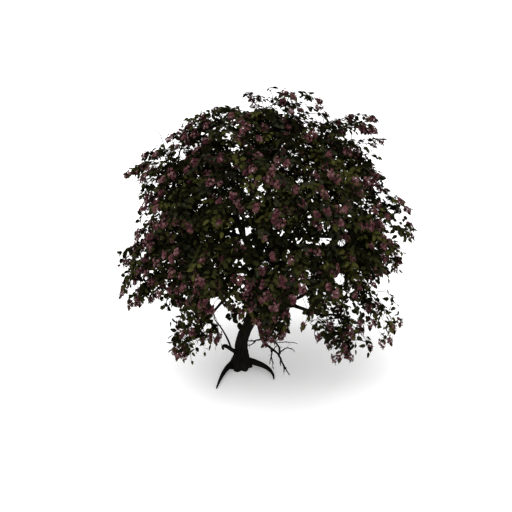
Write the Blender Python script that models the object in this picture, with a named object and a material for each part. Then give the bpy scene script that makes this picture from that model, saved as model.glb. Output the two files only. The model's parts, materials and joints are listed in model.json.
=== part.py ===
"""Orchid tree: a leaning trunk on three surface roots, arching boughs, and weeping masses of flowering twigs.

Metres, +Z up. The origin is the middle of the trunk's flat cut at ground level, and nothing lies below it.
Every limb is a round tube along a curve. Every mass of foliage is one solid: twigs that branch from one
stem by a seeded rule, broad blades that each stand for a spray of leaves, and stars that stand for blooms.
"""

from dataclasses import dataclass

import bmesh
import bpy
import numpy as np

# ------------------------------------------------------------------ driving sizes

SEED = 11
CLEARANCE = 0.0003          # gap between two touching solids
SLIVER = 0.000002           # edges shorter than this, left by a Boolean, are closed up

TRUNK_SIDES = 18
TRUNK_RINGS = 15
ROOT_SIDES = 8
ROOT_STEPS = 8
LIMB_SIDES = 6
LIMB_STEPS = 8
TWIG_SIDES = 3
RING_TURN = 0.37            # turns every ring a little, so that edges don't line up with their neighbours'

# Height above the ground, sideways lean, forward lean and radius, from the flat cut to the fork.
TRUNK_STATIONS = np.array([
    (0.00, 0.00, 0.00, 0.262),
    (0.10, 0.00, 0.00, 0.238),
    (0.22, 0.01, 0.00, 0.205),
    (0.38, 0.03, 0.00, 0.166),
    (0.60, 0.03, 0.00, 0.150),
    (0.90, 0.11, 0.00, 0.146),
    (1.20, 0.25, 0.00, 0.142),
    (1.60, 0.32, 0.01, 0.130),
    (2.10, 0.36, 0.03, 0.118),
    (2.60, 0.39, 0.05, 0.106),
    (2.95, 0.42, 0.06, 0.098),
])
FLARE_LOBES = 7             # ridges that run down into the root flare
FLARE_LOBE_DEPTH = 0.13     # share of the radius, at the ground
FLARE_FADE = 0.30           # height over which the ridges die away

BLADE_THICKNESS = 0.014
BLADE_WIDTH_SHARE = 0.66    # width of a blade over its length
BLADE_MIDDLE = 0.44         # where a blade is widest, as a share of its length
BLADE_THICKEST = 0.22       # where a blade is thickest, as a share of its length
BLADE_FOLD = 0.03           # how far its spine stands above its rim, as a share of its length
BLADE_LENGTHS = (0.92, 0.80, 0.68, 0.56, 0.44)
SUNK_RADIUS = 0.30          # radius of a twig's hidden foot, as a share of the twig that it starts in
BLADE_SUNK = 0.018          # how far back along its twig a blade is rooted
DIRECT_SUNK = 0.004         # the same, where it stands out of the side of a joint
TWIG_RADIUS = 0.0095
PIPE_POWER = 2.3            # a twig's radius to this power is the sum over the twigs that it carries
BLOOM_RADIUS = 0.135
BLOOM_THICKNESS = 0.05
BLOOMS_PER_MASS = 2
LIMB_MARGIN = 0.012         # least gap between foliage and a limb
SPACE_MARGIN = 0.003        # least gap between foliage and the wall of its own space
TWIG_SPACE_MARGIN = 0.02    # the same, for the middle line of a twig
TIP_SPACE_MARGIN = 0.03     # the same, for a joint
TIP_JITTER = 0.04
TIP_DEPTHS = (0.50, 0.98)   # how far out the joints lie in their mass, from its middle to its rim
STEM_SHARE = 0.7            # how far a mass's stem runs from the bough's tip towards the middle
GROUND_MARGIN = 0.05        # foliage stays this far above the ground
JOINT_SPACING = 0.40        # least gap between two joints, as a share of the mass's mean half size
PATH_WEIGHT = 0.15          # how much a twig prefers a joint that is near the stem's foot

CROWN_CENTRE = np.array([0.55, 0.0, 3.4])
CROWN_HALF = np.array([3.3, 3.1, 3.1])
CROWN_BARE = 0.36           # inside this share of the crown no twig ends
CLIMB_COST = 0.3            # how much a twig dislikes a joint below it, before weeping is added
TURN_COST = 0.25            # how much it dislikes to turn away from its parent's heading
TWIG_RISE = 0.55            # how steeply a twig leaves its joint, where it doesn't weep
TWIG_DROOP = 0.90           # how steeply it falls into its end
BLADE_HANG = 0.45           # how steeply a side blade hangs, where its mass doesn't weep
BOUGH_ENTRY = 0.62          # how far out in its mass a bough ends, from the middle to the rim
COLLAR = 0.18               # swelling of a bough's foot, as a share of its radius
COLLAR_FADE = 9.0           # how fast the swelling dies away along the bough

GOLDEN_SHARE = (np.sqrt(5) - 1) / 2
GOLDEN_ANGLE = np.pi * (3 - np.sqrt(5))

BARK, LEAF, PETAL = 0, 1, 2


@dataclass
class Root:
    """A surface root: a curve on the ground, thick at the trunk and thin at its tip."""
    plan: tuple             # four control points on the ground
    base_radius: float = 0.098
    tip_radius: float = 0.016
    base_height: float = 0.16
    tip_height: float = 0.012


@dataclass
class Bough:
    """A tapering limb from its parent to the mass that it carries."""
    name: str
    parent: str
    along: float            # where it leaves its parent, as a share of the parent's length
    mass: str
    base_radius: float
    tip_radius: float
    lift: float = 0.35      # how steeply it rises as it leaves
    path: np.ndarray = None
    radii: np.ndarray = None

    @property
    def leads(self):
        """True for the bough that carries the trunk on from its end."""
        return self.along >= 1


@dataclass
class Mass:
    """A mass of foliage: the space that its twigs keep to, and how many joints they may have."""
    name: str
    centre: tuple
    half: tuple             # half width, half depth and half height of its space
    tips: int = 15
    weeping: float = 0.0    # 1 where its twigs hang

    @property
    def reach(self):
        """Mean half size, which weighs this space against its neighbours."""
        return float(np.mean(self.half))


ROOTS = (
    Root(plan=((-0.05, 0.03), (-0.36, 0.05), (-0.45, -0.42), (-0.51, -1.03))),
    Root(plan=((0.06, 0.05), (0.50, 0.20), (0.80, -0.12), (0.79, -0.62))),
    Root(plan=((0.02, 0.00), (0.05, 0.30), (-0.06, 0.50), (0.08, 0.82)), base_radius=0.085),
)

MASSES = (
    Mass("crown_top", (0.98, 0.20, 5.80), (1.10, 1.05, 0.94), tips=21),
    Mass("upper_left_mass", (-0.34, 0.00, 5.44), (0.95, 0.95, 0.86), tips=18),
    Mass("upper_right_mass", (2.24, 0.10, 5.22), (0.94, 1.00, 0.92), tips=17),
    Mass("outer_left_mass", (-1.42, -0.10, 4.98), (1.02, 0.92, 0.86)),
    Mass("outer_right_mass", (3.00, -0.20, 3.38), (0.96, 1.05, 1.10)),
    Mass("mid_left_mass", (-1.12, -0.95, 3.95), (0.90, 0.95, 0.90)),
    Mass("low_left_mass", (-1.84, -0.10, 2.50), (0.98, 1.15, 1.00), weeping=0.5),
    Mass("weeping_left_mass", (-0.92, -1.32, 1.70), (0.70, 0.74, 0.94), tips=16, weeping=1.0),
    Mass("weeping_right_mass", (2.40, -1.00, 1.74), (1.16, 0.90, 0.96), weeping=1.0),
    Mass("front_low_left_mass", (-0.22, -2.20, 3.20), (0.95, 0.90, 0.90), weeping=0.5),
    Mass("front_low_right_mass", (1.08, -2.20, 3.15), (0.95, 0.90, 0.90), weeping=0.5),
    Mass("front_upper_left_mass", (0.07, -1.70, 4.65), (0.95, 0.95, 0.90)),
    Mass("front_upper_right_mass", (1.53, -1.60, 4.48), (0.95, 0.95, 0.90)),
    Mass("front_side_mass", (2.30, -1.45, 3.40), (0.75, 0.80, 0.80)),
    Mass("front_hanging_mass", (0.74, -1.20, 1.98), (0.56, 0.54, 0.76), tips=14, weeping=1.0),
    Mass("back_upper_mass", (0.90, 1.60, 4.85), (1.00, 0.95, 0.90)),
    Mass("back_left_mass", (-0.95, 1.45, 3.95), (0.95, 0.95, 0.95)),
    Mass("back_right_mass", (2.40, 1.60, 4.00), (0.95, 0.95, 0.95)),
    Mass("back_low_left_mass", (-0.85, 1.95, 2.45), (0.95, 0.90, 0.95), weeping=0.6),
    Mass("back_low_middle_mass", (0.85, 2.35, 2.95), (0.90, 0.80, 1.00), weeping=0.6),
    Mass("back_low_right_mass", (2.50, 1.45, 2.20), (0.95, 0.90, 0.90), weeping=0.8),
)

BOUGHS = (
    Bough("leader_bough", "trunk", 1.00, "crown_top", 0.084, 0.040, lift=1.0),
    Bough("upper_left_bough", "trunk", 0.94, "upper_left_mass", 0.066, 0.034, lift=0.9),
    Bough("upper_right_bough", "trunk", 0.90, "upper_right_mass", 0.070, 0.034, lift=0.5),
    Bough("low_right_bough", "trunk", 0.53, "weeping_right_mass", 0.062, 0.030, lift=0.55),
    Bough("low_left_bough", "trunk", 0.73, "weeping_left_mass", 0.048, 0.026, lift=0.45),
    Bough("left_bough", "trunk", 0.78, "low_left_mass", 0.058, 0.030, lift=0.45),
    Bough("front_left_bough", "trunk", 0.84, "front_low_left_mass", 0.054, 0.030, lift=0.55),
    Bough("front_right_bough", "trunk", 0.76, "front_low_right_mass", 0.056, 0.030, lift=0.60),
    Bough("back_left_bough", "trunk", 0.87, "back_low_left_mass", 0.054, 0.030, lift=0.60),
    Bough("back_bough", "trunk", 0.79, "back_low_middle_mass", 0.054, 0.030, lift=0.60),
    Bough("back_right_bough", "trunk", 0.70, "back_low_right_mass", 0.056, 0.030, lift=0.60),
    Bough("right_bough", "upper_right_bough", 0.30, "outer_right_mass", 0.048, 0.028, lift=0.2),
    Bough("outer_left_bough", "upper_left_bough", 0.42, "outer_left_mass", 0.040, 0.026, lift=0.5),
    Bough("mid_left_bough", "upper_left_bough", 0.24, "mid_left_mass", 0.042, 0.027, lift=0.3),
    Bough("front_upper_left_bough", "front_left_bough", 0.34, "front_upper_left_mass",
          0.040, 0.026, lift=0.9),
    Bough("front_upper_right_bough", "front_right_bough", 0.34, "front_upper_right_mass",
          0.040, 0.026, lift=0.9),
    Bough("front_side_bough", "low_right_bough", 0.48, "front_side_mass", 0.038, 0.025, lift=0.6),
    Bough("front_hanging_bough", "front_right_bough", 0.20, "front_hanging_mass", 0.030, 0.020, lift=0.1),
    Bough("back_upper_bough", "leader_bough", 0.30, "back_upper_mass", 0.044, 0.028, lift=0.6),
    Bough("back_mid_left_bough", "back_left_bough", 0.36, "back_left_mass", 0.040, 0.026, lift=0.8),
    Bough("back_mid_right_bough", "back_right_bough", 0.36, "back_right_mass", 0.042, 0.026, lift=0.9),
)

# The low limbs: a dead one on the right that ends in bare twigs, and a stub with a thin shoot on the left.
DEAD_LIMB = ((0.32, -0.02, 1.46), (0.44, -0.20, 1.34), (0.47, -0.40, 1.12), (0.51, -0.46, 0.97))
DEAD_LIMB_RADII = (0.050, 0.038)
DEAD_STEM = ((0.51, -0.46, 0.97), (0.58, -0.52, 0.86), (0.76, -0.62, 0.80), (0.91, -0.75, 0.69))
DEAD_STEM_RADII = (0.034, 0.022)
DEAD_TWIGS = 7
DEAD_TWIG_LENGTH = 0.42
STUB = ((0.00, 0.00, 0.34), (-0.14, -0.01, 0.40), (-0.26, -0.03, 0.52), (-0.335, -0.05, 0.57))
STUB_RADII = (0.058, 0.040)
SHOOT = ((-0.20, -0.02, 0.46), (-0.27, -0.04, 0.75), (-0.38, -0.08, 1.00), (-0.56, -0.14, 1.28))
SHOOT_RADII = (0.026, 0.014)
SHOOT_MASS = Mass("low_shoot_mass", (-0.60, -0.22, 1.52), (0.42, 0.42, 0.46), tips=9, weeping=0.3)


# ------------------------------------------------------------------ curves

def unit(vector):
    """The vector scaled to length 1."""
    vector = np.asarray(vector, float)
    return vector / max(np.linalg.norm(vector), 1e-9)


def bezier(control, steps):
    """Points along a cubic Bezier curve."""
    p0, p1, p2, p3 = np.asarray(control, float)
    t = np.linspace(0.0, 1.0, steps)[:, None]
    return (1 - t) ** 3 * p0 + 3 * (1 - t) ** 2 * t * p1 + 3 * (1 - t) * t ** 2 * p2 + t ** 3 * p3


def smooth_stations(stations, steps):
    """A Catmull-Rom curve through the stations, column by column, with the first column as the parameter."""
    padded = np.vstack([2 * stations[0] - stations[1], stations, 2 * stations[-1] - stations[-2]])
    place = np.linspace(0, len(stations) - 1 - 1e-9, steps)
    k = place.astype(int)
    t = (place - k)[:, None]
    a, b, c, d = padded[k], padded[k + 1], padded[k + 2], padded[k + 3]
    linear, square, cube = c - a, 2 * a - 5 * b + 4 * c - d, 3 * b - a - 3 * c + d
    return 0.5 * (2 * b + linear * t + square * t ** 2 + cube * t ** 3)


def frames(points, facing=None):
    """Tangent and two normals at each point, carried along the curve without twist."""
    tangents = np.gradient(points, axis=0)
    tangents /= np.linalg.norm(tangents, axis=1)[:, None]
    if facing is not None:
        tangents[0] = facing
    side = np.cross(tangents[0], (0.0, 0.0, 1.0))
    if np.linalg.norm(side) < 0.2:
        side = np.array([1.0, 0.0, 0.0])
    sides = []
    for tangent in tangents:
        side = unit(side - tangent * (side @ tangent))
        sides.append(side)
    sides = np.array(sides)
    return tangents, sides, np.cross(tangents, sides)


# ------------------------------------------------------------------ meshes

def tube(points, radii, sides, facing=None):
    """A closed tube: rings along the points, joined by quads, with a flat cap at each end.

    facing is the way that the first ring looks, where it meets the flat end of another limb.
    """
    points = np.asarray(points, float)
    _, side, other = frames(points, facing)
    angle = RING_TURN + np.linspace(0, 2 * np.pi, sides, endpoint=False)
    ring = np.cos(angle)[None, :, None] * side[:, None] + np.sin(angle)[None, :, None] * other[:, None]
    corners = points[:, None] + ring * np.asarray(radii, float)[:, None, None]
    return corners.reshape(-1, 3), tube_faces(len(points), sides)


def tube_faces(rings, sides):
    """Quads between rings of corners, and one cap at each end, all facing out."""
    faces = []
    for ring in range(rings - 1):
        for k in range(sides):
            low, high = ring * sides, (ring + 1) * sides
            nxt = (k + 1) % sides
            faces.append((low + k, low + nxt, high + nxt, high + k))
    faces.append(tuple(range(sides))[::-1])
    faces.append(tuple(range((rings - 1) * sides, rings * sides)))
    return faces


def blade(foot, direction, up, length):
    """A thin blade: a long eight-faced lozenge, widest before its middle. It stands for a spray of leaves."""
    forward = unit(direction)
    across = unit(np.cross(forward, up))
    normal = np.cross(across, forward)
    middle = foot + forward * length * BLADE_MIDDLE
    thick = foot + forward * length * BLADE_THICKEST
    half_width = 0.5 * BLADE_WIDTH_SHARE * length
    corners = np.array([
        foot,
        middle + across * half_width,
        foot + forward * length,
        middle - across * half_width,
        thick + normal * (BLADE_THICKNESS / 2 + BLADE_FOLD * length),
        thick - normal * (BLADE_THICKNESS / 2 - BLADE_FOLD * length),
    ])
    faces = []
    for k in range(4):
        nxt = (k + 1) % 4
        faces += [(k, nxt, 4), (nxt, k, 5)]
    return corners, faces


def bloom(centre, facing):
    """A five-lobed star with a raised middle, which stands for one large bloom."""
    normal = unit(facing)
    side = unit(np.cross(normal, (0.31, 0.83, 0.45)))
    other = np.cross(normal, side)
    angle = np.linspace(0, 2 * np.pi, 10, endpoint=False)
    radius = np.where(np.arange(10) % 2 == 0, BLOOM_RADIUS, 0.5 * BLOOM_RADIUS)
    rim = centre + radius[:, None] * (np.cos(angle)[:, None] * side + np.sin(angle)[:, None] * other)
    rim[::2] -= normal * 0.25 * BLOOM_RADIUS
    corners = np.vstack([rim, centre + normal * BLOOM_THICKNESS / 2, centre - normal * BLOOM_THICKNESS])
    faces = []
    for k in range(10):
        nxt = (k + 1) % 10
        faces += [(k, nxt, 10), (nxt, k, 11)]
    return corners, faces


def new_object(name, corners, faces, materials, index=BARK, smooth=True):
    """A mesh object with the three materials, whose faces all take the one at index, turned to face out."""
    mesh = bpy.data.meshes.new(name)
    mesh.from_pydata([tuple(c) for c in corners], [], faces)
    for material in materials:
        mesh.materials.append(material)
    mesh.polygons.foreach_set("material_index", [index] * len(mesh.polygons))
    mesh.update()
    if signed_volume(mesh) < 0:
        mesh.flip_normals()
    if smooth:
        mesh.shade_smooth()
        mesh.set_sharp_from_angle(angle=np.radians(50))
    obj = bpy.data.objects.new(name, mesh)
    bpy.context.scene.collection.objects.link(obj)
    return obj


def mesh_arrays(mesh):
    """The mesh's corners and its triangles, as arrays."""
    mesh.calc_loop_triangles()
    corners = np.empty(len(mesh.vertices) * 3, np.float32)
    mesh.vertices.foreach_get("co", corners)
    triangles = np.empty(len(mesh.loop_triangles) * 3, np.int32)
    mesh.loop_triangles.foreach_get("vertices", triangles)
    return corners.reshape(-1, 3).astype(float), triangles.reshape(-1, 3)


def signed_volume(mesh):
    """Volume inside the mesh, below zero where its faces point in."""
    corners, triangles = mesh_arrays(mesh)
    return float(np.linalg.det(corners[triangles]).sum() / 6)


def enclosed_volume(faces):
    """Three times the volume that a closed body's faces enclose."""
    return sum(face.calc_area() * face.calc_center_median().dot(face.normal) for face in faces)


def keep_largest_body(obj):
    """Drops the loose scraps that a Boolean leaves. Faces that share an edge belong to one body."""
    shape = bmesh.new()
    shape.from_mesh(obj.data)
    bmesh.ops.dissolve_degenerate(shape, edges=shape.edges, dist=SLIVER)
    bodies, seen = [], set()
    for start in shape.faces:
        if start in seen:
            continue
        seen.add(start)
        body, stack = [], [start]
        while stack:
            face = stack.pop()
            body.append(face)
            for edge in face.edges:
                beside = [other for other in edge.link_faces if other not in seen]
                seen.update(beside)
                stack += beside
        bodies.append(body)
    largest = max(bodies, key=enclosed_volume)
    scraps = [face for body in bodies if body is not largest for face in body]
    bmesh.ops.delete(shape, geom=scraps, context="FACES")
    shape.to_mesh(obj.data)
    shape.free()


def bake_modifiers(obj):
    """Replaces the object's mesh with what its modifiers make of it."""
    bpy.context.view_layer.update()
    graph = bpy.context.evaluated_depsgraph_get()
    mesh = bpy.data.meshes.new_from_object(obj.evaluated_get(graph))
    obj.modifiers.clear()
    obj.data = mesh
    keep_largest_body(obj)


def boolean(obj, cutter, operation, solver="EXACT"):
    """One Boolean of obj with another object, applied, after which the other object is removed."""
    modifier = obj.modifiers.new(operation.lower(), "BOOLEAN")
    modifier.operation = operation
    modifier.solver = solver
    modifier.object = cutter
    bake_modifiers(obj)
    bpy.data.objects.remove(cutter)


def fuse(obj, pieces, name):
    """Joins the pieces to obj with one Boolean union on a collection, then removes them."""
    group = bpy.data.collections.new(name + "_pieces")
    bpy.context.scene.collection.children.link(group)
    for piece in pieces:
        bpy.context.scene.collection.objects.unlink(piece)
        group.objects.link(piece)
    modifier = obj.modifiers.new("union", "BOOLEAN")
    modifier.operation = "UNION"
    modifier.solver = "MANIFOLD"
    modifier.operand_type = "COLLECTION"
    modifier.collection = group
    bake_modifiers(obj)
    for piece in pieces:
        bpy.data.objects.remove(piece)
    bpy.data.collections.remove(group)


# ------------------------------------------------------------------ trunk and boughs

class Limbs:
    """Centre lines and radii of all limbs, to cut one by another and to keep foliage off them."""

    def __init__(self):
        self.lines = {}
        self.facings = {}

    def add(self, name, points, radii, facing=None):
        self.lines[name] = (np.asarray(points, float), np.asarray(radii, float))
        self.facings[name] = facing

    def segments(self):
        """The straight pieces of every limb's centre line."""
        return [np.stack([points[:-1], points[1:]], axis=1) for points, _ in self.lines.values()]

    def clear_of(self, samples, own_radius):
        """True where no sample comes within its own radius and the margin of any limb's surface."""
        for points, radii in self.lines.values():
            start, step = points[:-1], np.diff(points, axis=0)
            square = np.maximum((step ** 2).sum(1), 1e-12)
            to = samples[:, None] - start[None]
            t = np.clip((to * step).sum(2) / square, 0, 1)
            gap = np.linalg.norm(to - t[..., None] * step, axis=2)
            limb = radii[:-1] + (radii[1:] - radii[:-1]) * t
            if (gap - limb < own_radius + LIMB_MARGIN).any():
                return False
        return True


def make_trunk(materials, limbs):
    """The trunk, from its flat cut at ground level to its fork, with its ridged flare and surface roots."""
    rings = smooth_stations(TRUNK_STATIONS, TRUNK_RINGS)
    height, lean, forward, radius = rings.T
    angle = np.linspace(0, 2 * np.pi, TRUNK_SIDES, endpoint=False)
    fade = np.exp(-np.clip(height, 0, None) / FLARE_FADE)[:, None]
    ridge = 1 + FLARE_LOBE_DEPTH * fade * np.cos(FLARE_LOBES * angle + 0.6)[None]
    across = radius[:, None] * ridge
    corners = np.stack([
        lean[:, None] + across * np.cos(angle),
        forward[:, None] + across * np.sin(angle),
        np.repeat(height[:, None], TRUNK_SIDES, axis=1),
    ], axis=2)
    corners[0, :, 2] = 0.0
    trunk = new_object("trunk", corners.reshape(-1, 3), tube_faces(len(rings), TRUNK_SIDES), materials)
    limbs.add("trunk", np.stack([lean, forward, height], axis=1), radius)
    for k, root in enumerate(ROOTS):
        points, radii = root_line(root)
        limbs.add(f"root_{k}", points, radii)
        piece = new_object(f"root_{k}", *tube(points, radii, ROOT_SIDES), materials)
        boolean(trunk, piece, "UNION")
    ground = new_object("below_ground", *box_mesh((-2, -2, -1), (2, 2, 0)), materials, smooth=False)
    boolean(trunk, ground, "DIFFERENCE")
    trunk.data.shade_smooth()
    trunk.data.set_sharp_from_angle(angle=np.radians(50))
    return trunk


def root_line(root):
    """Centre line and radii of a surface root."""
    plan = bezier([(x, y, 0) for x, y in root.plan], ROOT_STEPS)
    share = np.linspace(0, 1, len(plan))
    fall = (1 - share) ** 2.2
    plan[:, 2] = root.tip_height + (root.base_height - root.tip_height) * fall
    plan[:, 2] += 0.028 * np.sin(np.pi * share)
    radii = root.tip_radius + (root.base_radius - root.tip_radius) * (1 - share) ** 0.75
    return plan, radii


def box_mesh(low, high):
    """A box from its lowest and highest corners."""
    (x0, y0, z0), (x1, y1, z1) = low, high
    corners = [(x, y, z) for z in (z0, z1) for x, y in ((x0, y0), (x1, y0), (x1, y1), (x0, y1))]
    faces = [(3, 2, 1, 0), (4, 5, 6, 7), (0, 1, 5, 4), (1, 2, 6, 5), (2, 3, 7, 6), (3, 0, 4, 7)]
    return corners, faces


def point_along(points, share):
    """Point and direction at a share of a line's length."""
    lengths = np.r_[0, np.cumsum(np.linalg.norm(np.diff(points, axis=0), axis=1))]
    at = share * lengths[-1]
    point = np.array([np.interp(at, lengths, points[:, k]) for k in range(3)])
    k = min(np.searchsorted(lengths, at), len(points) - 1)
    return point, unit(points[max(k, 1)] - points[max(k, 1) - 1])


def lay_out_bough(bough, masses, limbs):
    """Works out a bough's path: out and up from its parent, arching over towards the mass, where it ends."""
    mass = masses[bough.mass]
    centre, half = np.array(mass.centre), np.array(mass.half)
    start, heading = point_along(limbs.lines[bough.parent][0], bough.along)
    outward = unit(start - centre)
    entry = centre + outward * BOUGH_ENTRY / np.linalg.norm(outward / half)
    gap = np.linalg.norm(entry - start)
    flat = unit((entry - start) * (1, 1, 0))
    sag = np.array([0, 0, 0.25 - 0.5 * mass.weeping])
    arrive = unit(unit(centre - entry) + 0.5 * unit(entry - start) + sag)
    if bough.leads:
        start = start + np.array([0, 0, CLEARANCE])
        leave = heading
    else:
        leave = unit(flat + np.array([0, 0, bough.lift]) + 0.25 * heading)
    bough.path = bezier([start, start + leave * 0.42 * gap, entry - arrive * 0.34 * gap, entry], LIMB_STEPS)
    bough.radii = taper(bough.base_radius, bough.tip_radius, LIMB_STEPS, collar=not bough.leads)


def taper(base, tip, steps, collar=True):
    """Radii from base to tip, with a swollen collar at the foot where the limb leaves its parent."""
    share = np.linspace(0, 1, steps)
    radii = tip + (base - tip) * (1 - share) ** 0.85
    if collar:
        radii = radii * (1 + COLLAR * np.exp(-share * COLLAR_FADE))
    return radii


def make_limb(name, points, radii, cutters, materials, limbs, facing=None):
    """A limb, cut back from each limb in cutters so that it meets it with the usual clearance."""
    limb = new_object(name, *tube(points, radii, LIMB_SIDES, facing), materials)
    for other in cutters:
        line, thickness = limbs.lines[other]
        line = np.vstack([line[0] - unit(line[1] - line[0]) * CLEARANCE * 2, line[1:]])
        corners, faces = tube(line, thickness + CLEARANCE * 1.2, LIMB_SIDES, limbs.facings[other])
        grown = new_object("cutter", corners, faces, materials)
        boolean(limb, grown, "DIFFERENCE")
    limbs.add(name, points, radii, facing)
    return limb


def trunk_cutter(trunk, materials):
    """A copy of the trunk, grown by the clearance along its normals."""
    corners, triangles = mesh_arrays(trunk.data)
    normals = np.array([v.normal for v in trunk.data.vertices])
    return new_object("cutter", corners + normals * CLEARANCE * 1.3, triangles.tolist(), materials)


def make_boughs(trunk, masses, materials, limbs):
    """All boughs that carry foliage, each cut clear of the trunk and of the limbs made before it."""
    for bough in BOUGHS:
        lay_out_bough(bough, masses, limbs)
        others = [name for name in limbs.lines if not name.startswith(("trunk", "root"))]
        cutters = [name for name in others if comes_near(bough, limbs, name)]
        facing = (0, 0, 1.0) if bough.leads else None
        limb = make_limb(bough.name, bough.path, bough.radii, cutters, materials, limbs, facing)
        if bough.parent == "trunk" and not bough.leads:
            boolean(limb, trunk_cutter(trunk, materials), "DIFFERENCE")


def comes_near(bough, limbs, name):
    """True where a bough's path comes near enough to another limb to overlap it."""
    points, radii = limbs.lines[name]
    fine = np.vstack([np.linspace(a, b, 6) for a, b in zip(bough.path[:-1], bough.path[1:])])
    other = np.vstack([np.linspace(a, b, 6) for a, b in zip(points[:-1], points[1:])])
    gap = np.linalg.norm(fine[:, None] - other[None], axis=2).min()
    return gap < 1.2 * (bough.base_radius + radii.max())


# ------------------------------------------------------------------ foliage

class Spaces:
    """Shares the crown out: each mass keeps to its own ellipsoid, and to the cell of points nearest to it."""

    def __init__(self, masses):
        self.masses = list(masses)
        self.centres = np.array([m.centre for m in self.masses], float)
        self.halves = np.array([m.half for m in self.masses], float)
        self.reaches = np.array([m.reach for m in self.masses])

    def holds(self, mass, points, margin=SPACE_MARGIN):
        """True for each point that lies in the mass's own space, by at least the margin."""
        own = self.masses.index(mass)
        points = np.atleast_2d(points)
        inside = (((points - self.centres[own]) / self.halves[own]) ** 2).sum(1) < 1
        power = ((points[:, None] - self.centres[None]) ** 2).sum(2) - self.reaches ** 2
        apart = 2 * np.linalg.norm(self.centres - self.centres[own], axis=1)
        for other in range(len(self.masses)):
            if other != own:
                inside &= (power[:, other] - power[:, own]) / apart[other] > margin
        return inside & (points[:, 2] > GROUND_MARGIN)


def candidate_tips(mass, count):
    """Points spread through the mass's ellipsoid: a Fibonacci spiral of directions, with varied depths."""
    k = np.arange(count)
    rise = 1 - 2 * (k + 0.5) / count
    turn = k * GOLDEN_ANGLE
    flat = np.sqrt(1 - rise ** 2)
    direction = np.stack([flat * np.cos(turn), flat * np.sin(turn), rise], axis=1)
    inner, outer = TIP_DEPTHS
    depth = inner + (outer - inner) * np.sqrt((k * GOLDEN_SHARE + 0.35) % 1.0)
    return np.array(mass.centre) + direction * depth[:, None] * np.array(mass.half)


def crown_depth(points):
    """0 at the crown's middle and 1 on its outline."""
    return np.linalg.norm((points - CROWN_CENTRE) / CROWN_HALF, axis=-1)


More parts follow.
